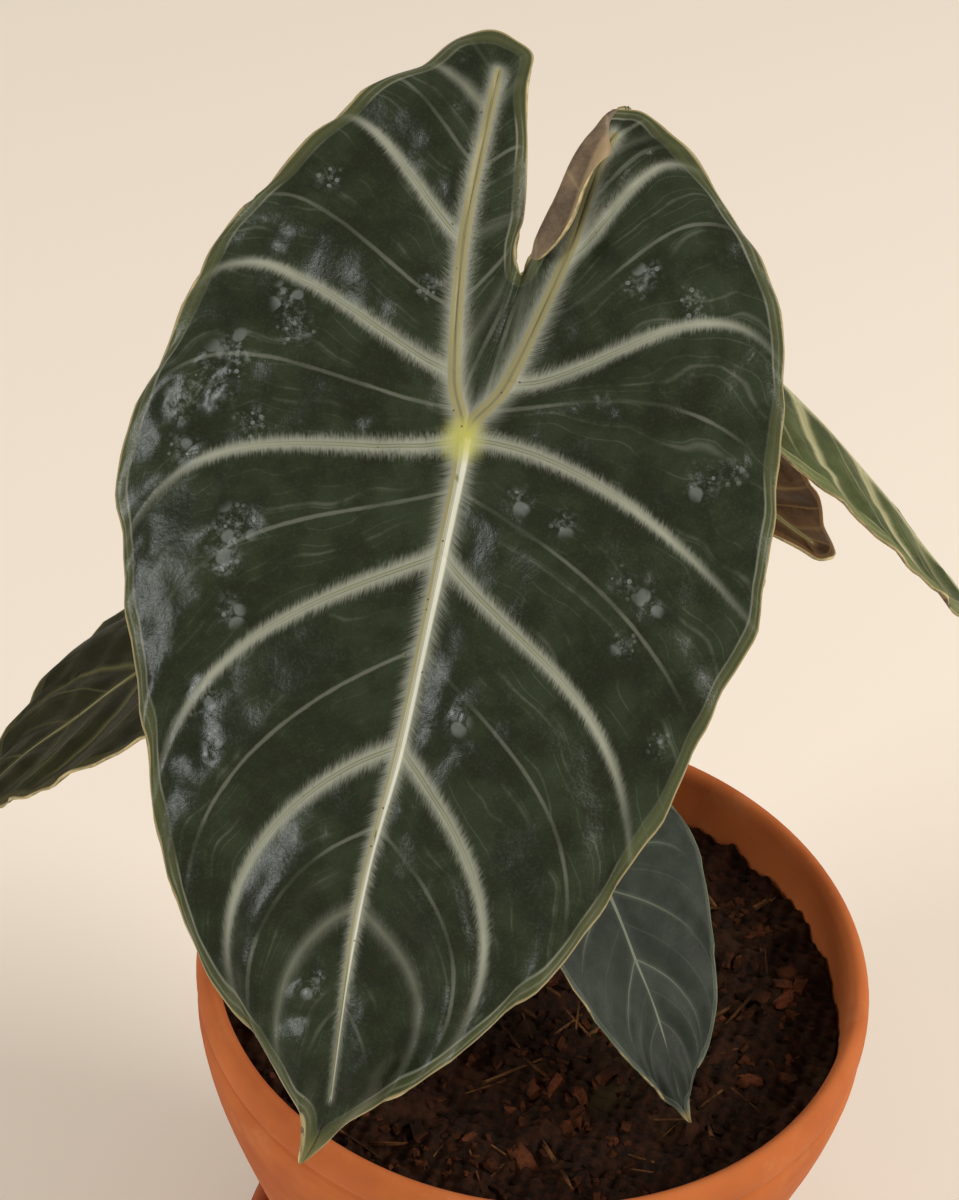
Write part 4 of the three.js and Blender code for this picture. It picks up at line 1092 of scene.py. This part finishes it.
    # specks of dust and red brown grit, about 0.3 mm, mostly by the midrib and the hub
    grit = add(tree, "ShaderNodeTexVoronoi", {"Vector": place, "Scale": 620, "Randomness": 1.0})
    picked = add(tree, "ShaderNodeMapRange", {
        0: add(tree, "ShaderNodeSeparateColor", {0: grit.outputs["Color"]}).outputs[0], 1: 0.74,
        2: 0.76}, 0, interpolation_type="SMOOTHSTEP")
    near_hub = add(tree, "ShaderNodeMapRange", {
        0: add(tree, "ShaderNodeMath", {
            0: add(tree, "ShaderNodeMath", {0: rib, 1: 3.0}, 0, operation="MULTIPLY"),
            1: hub}, 0, operation="MINIMUM"),
        1: 3, 2: 26, 3: 1, 4: 0.3}, 0, interpolation_type="SMOOTHSTEP")
    speck = add(tree, "ShaderNodeMath", {
        0: add(tree, "ShaderNodeMapRange", {
            0: grit.outputs["Distance"], 1: 0.09, 2: 0.15, 3: 0.85,
            4: 0}, 0, interpolation_type="SMOOTHSTEP"),
        1: add(tree, "ShaderNodeMath", {
            0: picked, 1: near_hub}, 0, operation="MULTIPLY")}, 0, operation="MULTIPLY")
    colour = add(tree, "ShaderNodeMix", {0: speck, 6: colour, 7: "#4a2412"}, 2, data_type="RGBA")
    tree.links.new(colour, shader.inputs["Base Color"])

    gloss = add(tree, "ShaderNodeMapRange", {
        0: cells.outputs[0], 1: 0.3, 2: 0.7, 3: look["gloss"],
        4: look["gloss"] + 0.14}, 0, interpolation_type="SMOOTHSTEP")
    gloss = add(tree, "ShaderNodeMath", {
        0: gloss,
        1: add(tree, "ShaderNodeMapRange", {
            0: film_and_sheen, 1: 0.1, 2: 1.0, 3: 0,
            4: look["film_and_sheen"] * 0.08}, 0, interpolation_type="SMOOTHSTEP")}, 0, operation="SUBTRACT")
    gloss = add(tree, "ShaderNodeMath", {
        0: gloss,
        1: add(tree, "ShaderNodeMath", {
            0: add(tree, "ShaderNodeMath", {0: halo, 1: rib_halo}, 0, operation="MAXIMUM"),
            1: 0.18}, 0, operation="MULTIPLY")}, 0, operation="ADD")
    tree.links.new(gloss, shader.inputs["Roughness"])
    relief = add(tree, "ShaderNodeMath", {
        0: add(tree, "ShaderNodeMath", {0: cells.outputs[0], 1: 0.22}, 0, operation="MULTIPLY"),
        1: add(tree, "ShaderNodeMath", {
            0: soft.outputs[0], 1: 0.6}, 0, operation="MULTIPLY")}, 0, operation="ADD")
    relief = add(tree, "ShaderNodeMath", {
        0: relief,
        1: add(tree, "ShaderNodeMath", {
            0: add(tree, "ShaderNodeMapRange", {
                0: vein, 1: 0, 2: 0.8 * size, 3: -0.5, 4: 0}, 0, interpolation_type="SMOOTHSTEP"),
            1: power}, 0, operation="MULTIPLY")}, 0, operation="ADD")
    bump = add(tree, "ShaderNodeBump", {"Height": relief, "Strength": 0.6, "Distance": 0.0004})
    tree.links.new(bump.outputs[0], shader.inputs["Normal"])
    shader.inputs["IOR"].default_value = 1.45
    shader.inputs["Specular IOR Level"].default_value = look["shine"]
    return material


def underside_material(name, ground, deep, vein_colour):
    """Underside of a leaf: matt, with its veins raised and paler than the blade."""
    material, tree, shader = new_material(name)
    place = add(tree, "ShaderNodeTexCoord").outputs["Object"]
    vein, rib, power, side = (add(tree, "ShaderNodeAttribute", output="Fac", attribute_name=key)
                              for key in ("vein_mm", "rib_mm", "vein_power", "side_mm"))
    blotch = add(tree, "ShaderNodeTexNoise", {"Vector": place, "Scale": 160, "Detail": 4, "Roughness": 0.65})
    cells = add(tree, "ShaderNodeTexNoise", {"Vector": place, "Scale": 1600, "Detail": 3, "Roughness": 0.7})
    colour = add(tree, "ShaderNodeMix", {
        0: add(tree, "ShaderNodeMapRange", {
            0: blotch.outputs[0], 1: 0.35, 2: 0.7}, 0, interpolation_type="SMOOTHSTEP"),
        6: deep, 7: ground}, 2, data_type="RGBA")
    colour = add(tree, "ShaderNodeMix", {
        0: add(tree, "ShaderNodeMapRange", {
            0: cells.outputs[0], 1: 0.5, 2: 0.75, 3: 0, 4: 0.25}, 0, interpolation_type="SMOOTHSTEP"),
        6: colour, 7: vein_colour}, 2, data_type="RGBA")
    colour = add(tree, "ShaderNodeMix", {
        0: add(tree, "ShaderNodeMath", {
            0: add(tree, "ShaderNodeMapRange", {
                0: vein, 1: 0.3, 2: 0.9, 3: 0.8, 4: 0}, 0, interpolation_type="SMOOTHSTEP"),
            1: power}, 0, operation="MULTIPLY"),
        6: colour, 7: vein_colour}, 2, data_type="RGBA")
    colour = add(tree, "ShaderNodeMix", {
        0: add(tree, "ShaderNodeMapRange", {
            0: side, 1: 0.1, 2: 0.4, 3: 0.35, 4: 0}, 0, interpolation_type="SMOOTHSTEP"),
        6: colour, 7: vein_colour}, 2, data_type="RGBA")
    colour = add(tree, "ShaderNodeMix", {
        0: add(tree, "ShaderNodeMapRange", {
            0: rib, 1: 1.0, 2: 2.0, 3: 0.9, 4: 0}, 0, interpolation_type="SMOOTHSTEP"),
        6: colour, 7: vein_colour}, 2, data_type="RGBA")
    tree.links.new(colour, shader.inputs["Base Color"])
    shader.inputs["Roughness"].default_value = 0.6
    bump = add(tree, "ShaderNodeBump", {"Height": cells.outputs[0], "Strength": 0.4, "Distance": 0.0003})
    tree.links.new(bump.outputs[0], shader.inputs["Normal"])
    return material


def edge_material(name, colour):
    """Leaf edge: a thin dry rim."""
    material, tree, shader = new_material(name)
    place = add(tree, "ShaderNodeTexCoord").outputs["Object"]
    spots = add(tree, "ShaderNodeTexNoise", {"Vector": place, "Scale": 400, "Detail": 3})
    tree.links.new(
        add(tree, "ShaderNodeMix", {
            0: add(tree, "ShaderNodeMapRange", {
                0: spots.outputs[0], 1: 0.4, 2: 0.7}, 0, interpolation_type="SMOOTHSTEP"),
            6: colour, 7: "#7d7352"}, 2, data_type="RGBA"),
        shader.inputs["Base Color"])
    shader.inputs["Roughness"].default_value = 0.55
    return material


# In each look the midrib's right-flank colour is a painted highlight, paler than its left.
DARK_LOOK = dict(
    deep="#1a2011", ground="#28311f", fleck="#3a4432", halo="#9da091", core="#7c8068", line="#4d5238",
    rib_left="#8a8560", rib_right_highlight="#cdcebd", hub="#b3b35a", hem="#585d3a", edge="#a2946c", tip="#6e6a42",
    # the film strength sets the painted sheen and its water spots
    size=1.0, thin=0.3, strong=0.86, shine=0.26, gloss=0.2, film_and_sheen=1.0)
OLIVE_LOOK = dict(
    DARK_LOOK, deep="#1a1a08", ground="#262610", fleck="#34341a", halo="#77754e", core="#5a5834",
    line="#3c3a20", rib_left="#6c6843", rib_right_highlight="#8a8560", hem="#4a4628", size=0.7, strong=0.35, thin=0.3,
    shine=0.14, gloss=0.38, film_and_sheen=0.0)
# a lighter, yellower copy of the olive look, for the right leaf
RIGHT_LOOK = dict(
    OLIVE_LOOK, deep="#363f22", ground="#4b5431", fleck="#626a46", halo="#b3b08a", core="#9a9870",
    line="#7c7c54", rib_left="#aaa684", rib_right_highlight="#b8b492", hem="#7d8455", size=1.1, strong=0.9)
GREY_LOOK = dict(
    DARK_LOOK, deep="#252b24", ground="#2f362d", fleck="#394137", halo="#6c7567", core="#697061",
    line="#5d6557", rib_left="#6f7767", rib_right_highlight="#757c6c", hub="#808766", hem="#4f584b", edge="#6d7460",
    tip="#a08a58", size=0.5, thin=0.12, strong=0.2, shine=0.2, gloss=0.5, film_and_sheen=0.0)

dark_face = face_material("leaf face, dark", DARK_LOOK)
olive_face = face_material("leaf face, olive", OLIVE_LOOK)
right_face = face_material("leaf face, light olive", RIGHT_LOOK)
grey_face = face_material("leaf face, young", GREY_LOOK)
taupe_under = underside_material("leaf underside, taupe", "#75614a", "#4f4030", "#95805f")
brown_under = underside_material("leaf underside, brown", "#5a3a18", "#3a210a", "#7d5a32")
brown_face = face_material(
    "leaf face, brown",
    dict(OLIVE_LOOK, deep="#2c1a04", ground="#46301a", fleck="#5c4224", halo="#7f6238", hem="#6b4c26"))
pale_edge = edge_material("leaf edge, dry", "#b9a878")

grow_blade("front", LEAVES["front"], (dark_face, taupe_under, pale_edge))
grow_blade("left", LEAVES["left"], (olive_face, taupe_under, pale_edge))
grow_blade("right", LEAVES["right"], (right_face, taupe_under, pale_edge))
grow_blade("rear", LEAVES["rear"], (brown_face, brown_under, pale_edge))
grow_blade("small", LEAVES["small"], (grey_face, taupe_under, pale_edge))

# Leaf stalks: round, waxy and mottled, thickest at the foot, where each clasps the stem base, and
# bent over at the top to carry the blade.

STALK_FOOT = 3.7
STALK_NECK = 2.0
STALK_RING = 7.2
STEM_TOP = 126.3
STALK_RISE = 0.35
STALK_BOW = 0.22


def bezier(points, u):
    u = np.asarray(u)[:, None]
    a, b, c, d = points
    return (1 - u) ** 3 * a + 3 * u * (1 - u) ** 2 * b + 3 * u * u * (1 - u) * c + u**3 * d


def grow_stalk(name, leaf, material):
    """A cylinder cut into rings, and bent along the curve from the stem to the blade's hub."""
    start_piece()
    bpy.ops.mesh.primitive_cylinder_add(vertices=24, radius=1, depth=1, end_fill_type="NGON")
    piece = bpy.context.object
    piece.name = piece.data.name = "stalk_" + name
    bpy.ops.object.mode_set(mode="EDIT")
    bpy.ops.mesh.select_all(action="SELECT")
    for k in range(1, 60):
        bpy.ops.mesh.bisect(plane_co=(0, 0, k / 60 - 0.5), plane_no=(0, 0, 1))
        bpy.ops.mesh.select_all(action="SELECT")
    bpy.ops.object.mode_set(mode="OBJECT")
    size = leaf["size"]
    foot = math.radians(leaf["foot"])
    face = leaf_axes(leaf)[2]
    start = np.array([STEM_PLACE[0] + STALK_RING * math.cos(foot),
                      STEM_PLACE[1] + STALK_RING * math.sin(foot), STEM_TOP])
    droop = STALK_NECK * abs(math.sin(math.radians(leaf["fold"])))
    end = np.array(leaf["hub"]) - face * (0.4 + 1.3 * size + droop + 0.3)
    span = np.linalg.norm(end - start)
    curve = (start, start + (0, 0, span * STALK_RISE), end - face * span * STALK_BOW, end)
    fine = bezier(curve, np.linspace(0, 1, 400))
    reach = np.concatenate([[0], np.cumsum(np.linalg.norm(np.diff(fine, axis=0), axis=-1))])
    points = read_points(piece.data) * MM
    u = points[:, 2] + 0.5
    spot = np.interp(u * reach[-1], reach, np.linspace(0, 1, 400))
    centre = bezier(curve, spot)
    ahead = bezier(curve, np.minimum(spot + 0.002, 1)) - bezier(curve, np.maximum(spot - 0.002, 0))
    ahead /= length(ahead)
    side = np.cross(ahead, np.cross(np.array([0, 0, 1.0]), start - end + (0, 0, 1e-6)) + 1e-9)
    side /= length(side)
    other = np.cross(ahead, side)
    radius = (0.55 + 0.45 * size) * (STALK_NECK + (STALK_FOOT - STALK_NECK) * (1 - u) ** 1.6)
    place = centre + (radius * points[:, 0])[:, None] * side + (radius * points[:, 1])[:, None] * other
    write_points(piece.data, place)
    bpy.ops.object.mode_set(mode="EDIT")
    bpy.ops.mesh.select_all(action="SELECT")
    bpy.ops.mesh.normals_make_consistent(inside=False)
    bpy.ops.object.mode_set(mode="OBJECT")
    bpy.ops.object.shade_smooth_by_angle(angle=math.radians(50))
    piece.data.materials.append(material)
    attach(piece, "root")
    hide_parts("petiole_" + name)


stalk_skin = stalk_material("stalk skin", "#b98d7c", "#9a7764", "#6f4a41")
for name, leaf in LEAVES.items():
    grow_stalk(name, leaf, stalk_skin)

# Room: a plain cream table top, a large soft lamp high on the right, and a cooler window on the
# left. Nothing here is part of the object.

start_piece()
bpy.ops.mesh.primitive_plane_add(size=6, location=(0, 0, 0))
table = bpy.context.object
table.name = "table_top"
paint, tree, shader = new_material("matt cream paint")
shader.inputs["Base Color"].default_value = linear("#eee6da")
shader.inputs["Roughness"].default_value = 0.9
table.data.materials.append(paint)

world = bpy.data.worlds.new("room")
bpy.context.scene.world = world
world.use_nodes = True
world.node_tree.nodes["Background"].inputs[0].default_value = linear("#f6ebdd")
world.node_tree.nodes["Background"].inputs[1].default_value = 0.57


def soft_lamp(name, place, aim, size, power, glint, colour):
    """A square lamp that faces a point. glint is the strength of its highlights."""
    lamp = bpy.data.lights.new(name, "AREA")
    lamp.shape = "SQUARE"
    lamp.size = size
    lamp.energy = power
    lamp.color = linear(colour)[:3]
    lamp.specular_factor = glint
    holder = bpy.data.objects.new(name, lamp)
    holder.location = place
    holder.rotation_euler = (Vector(aim) - Vector(place)).to_track_quat("-Z", "Y").to_euler()
    bpy.context.scene.collection.objects.link(holder)


soft_lamp("lamp_right", (1.5, -0.3, 1.2), (0, 0, 0.15), 0.9, 27, 1.4, "#fffaf5")
soft_lamp("window_left", (-1.35, -1.0, 1.1), (0, 0, 0.3), 0.6, 17, 2.2, "#eef0f0")
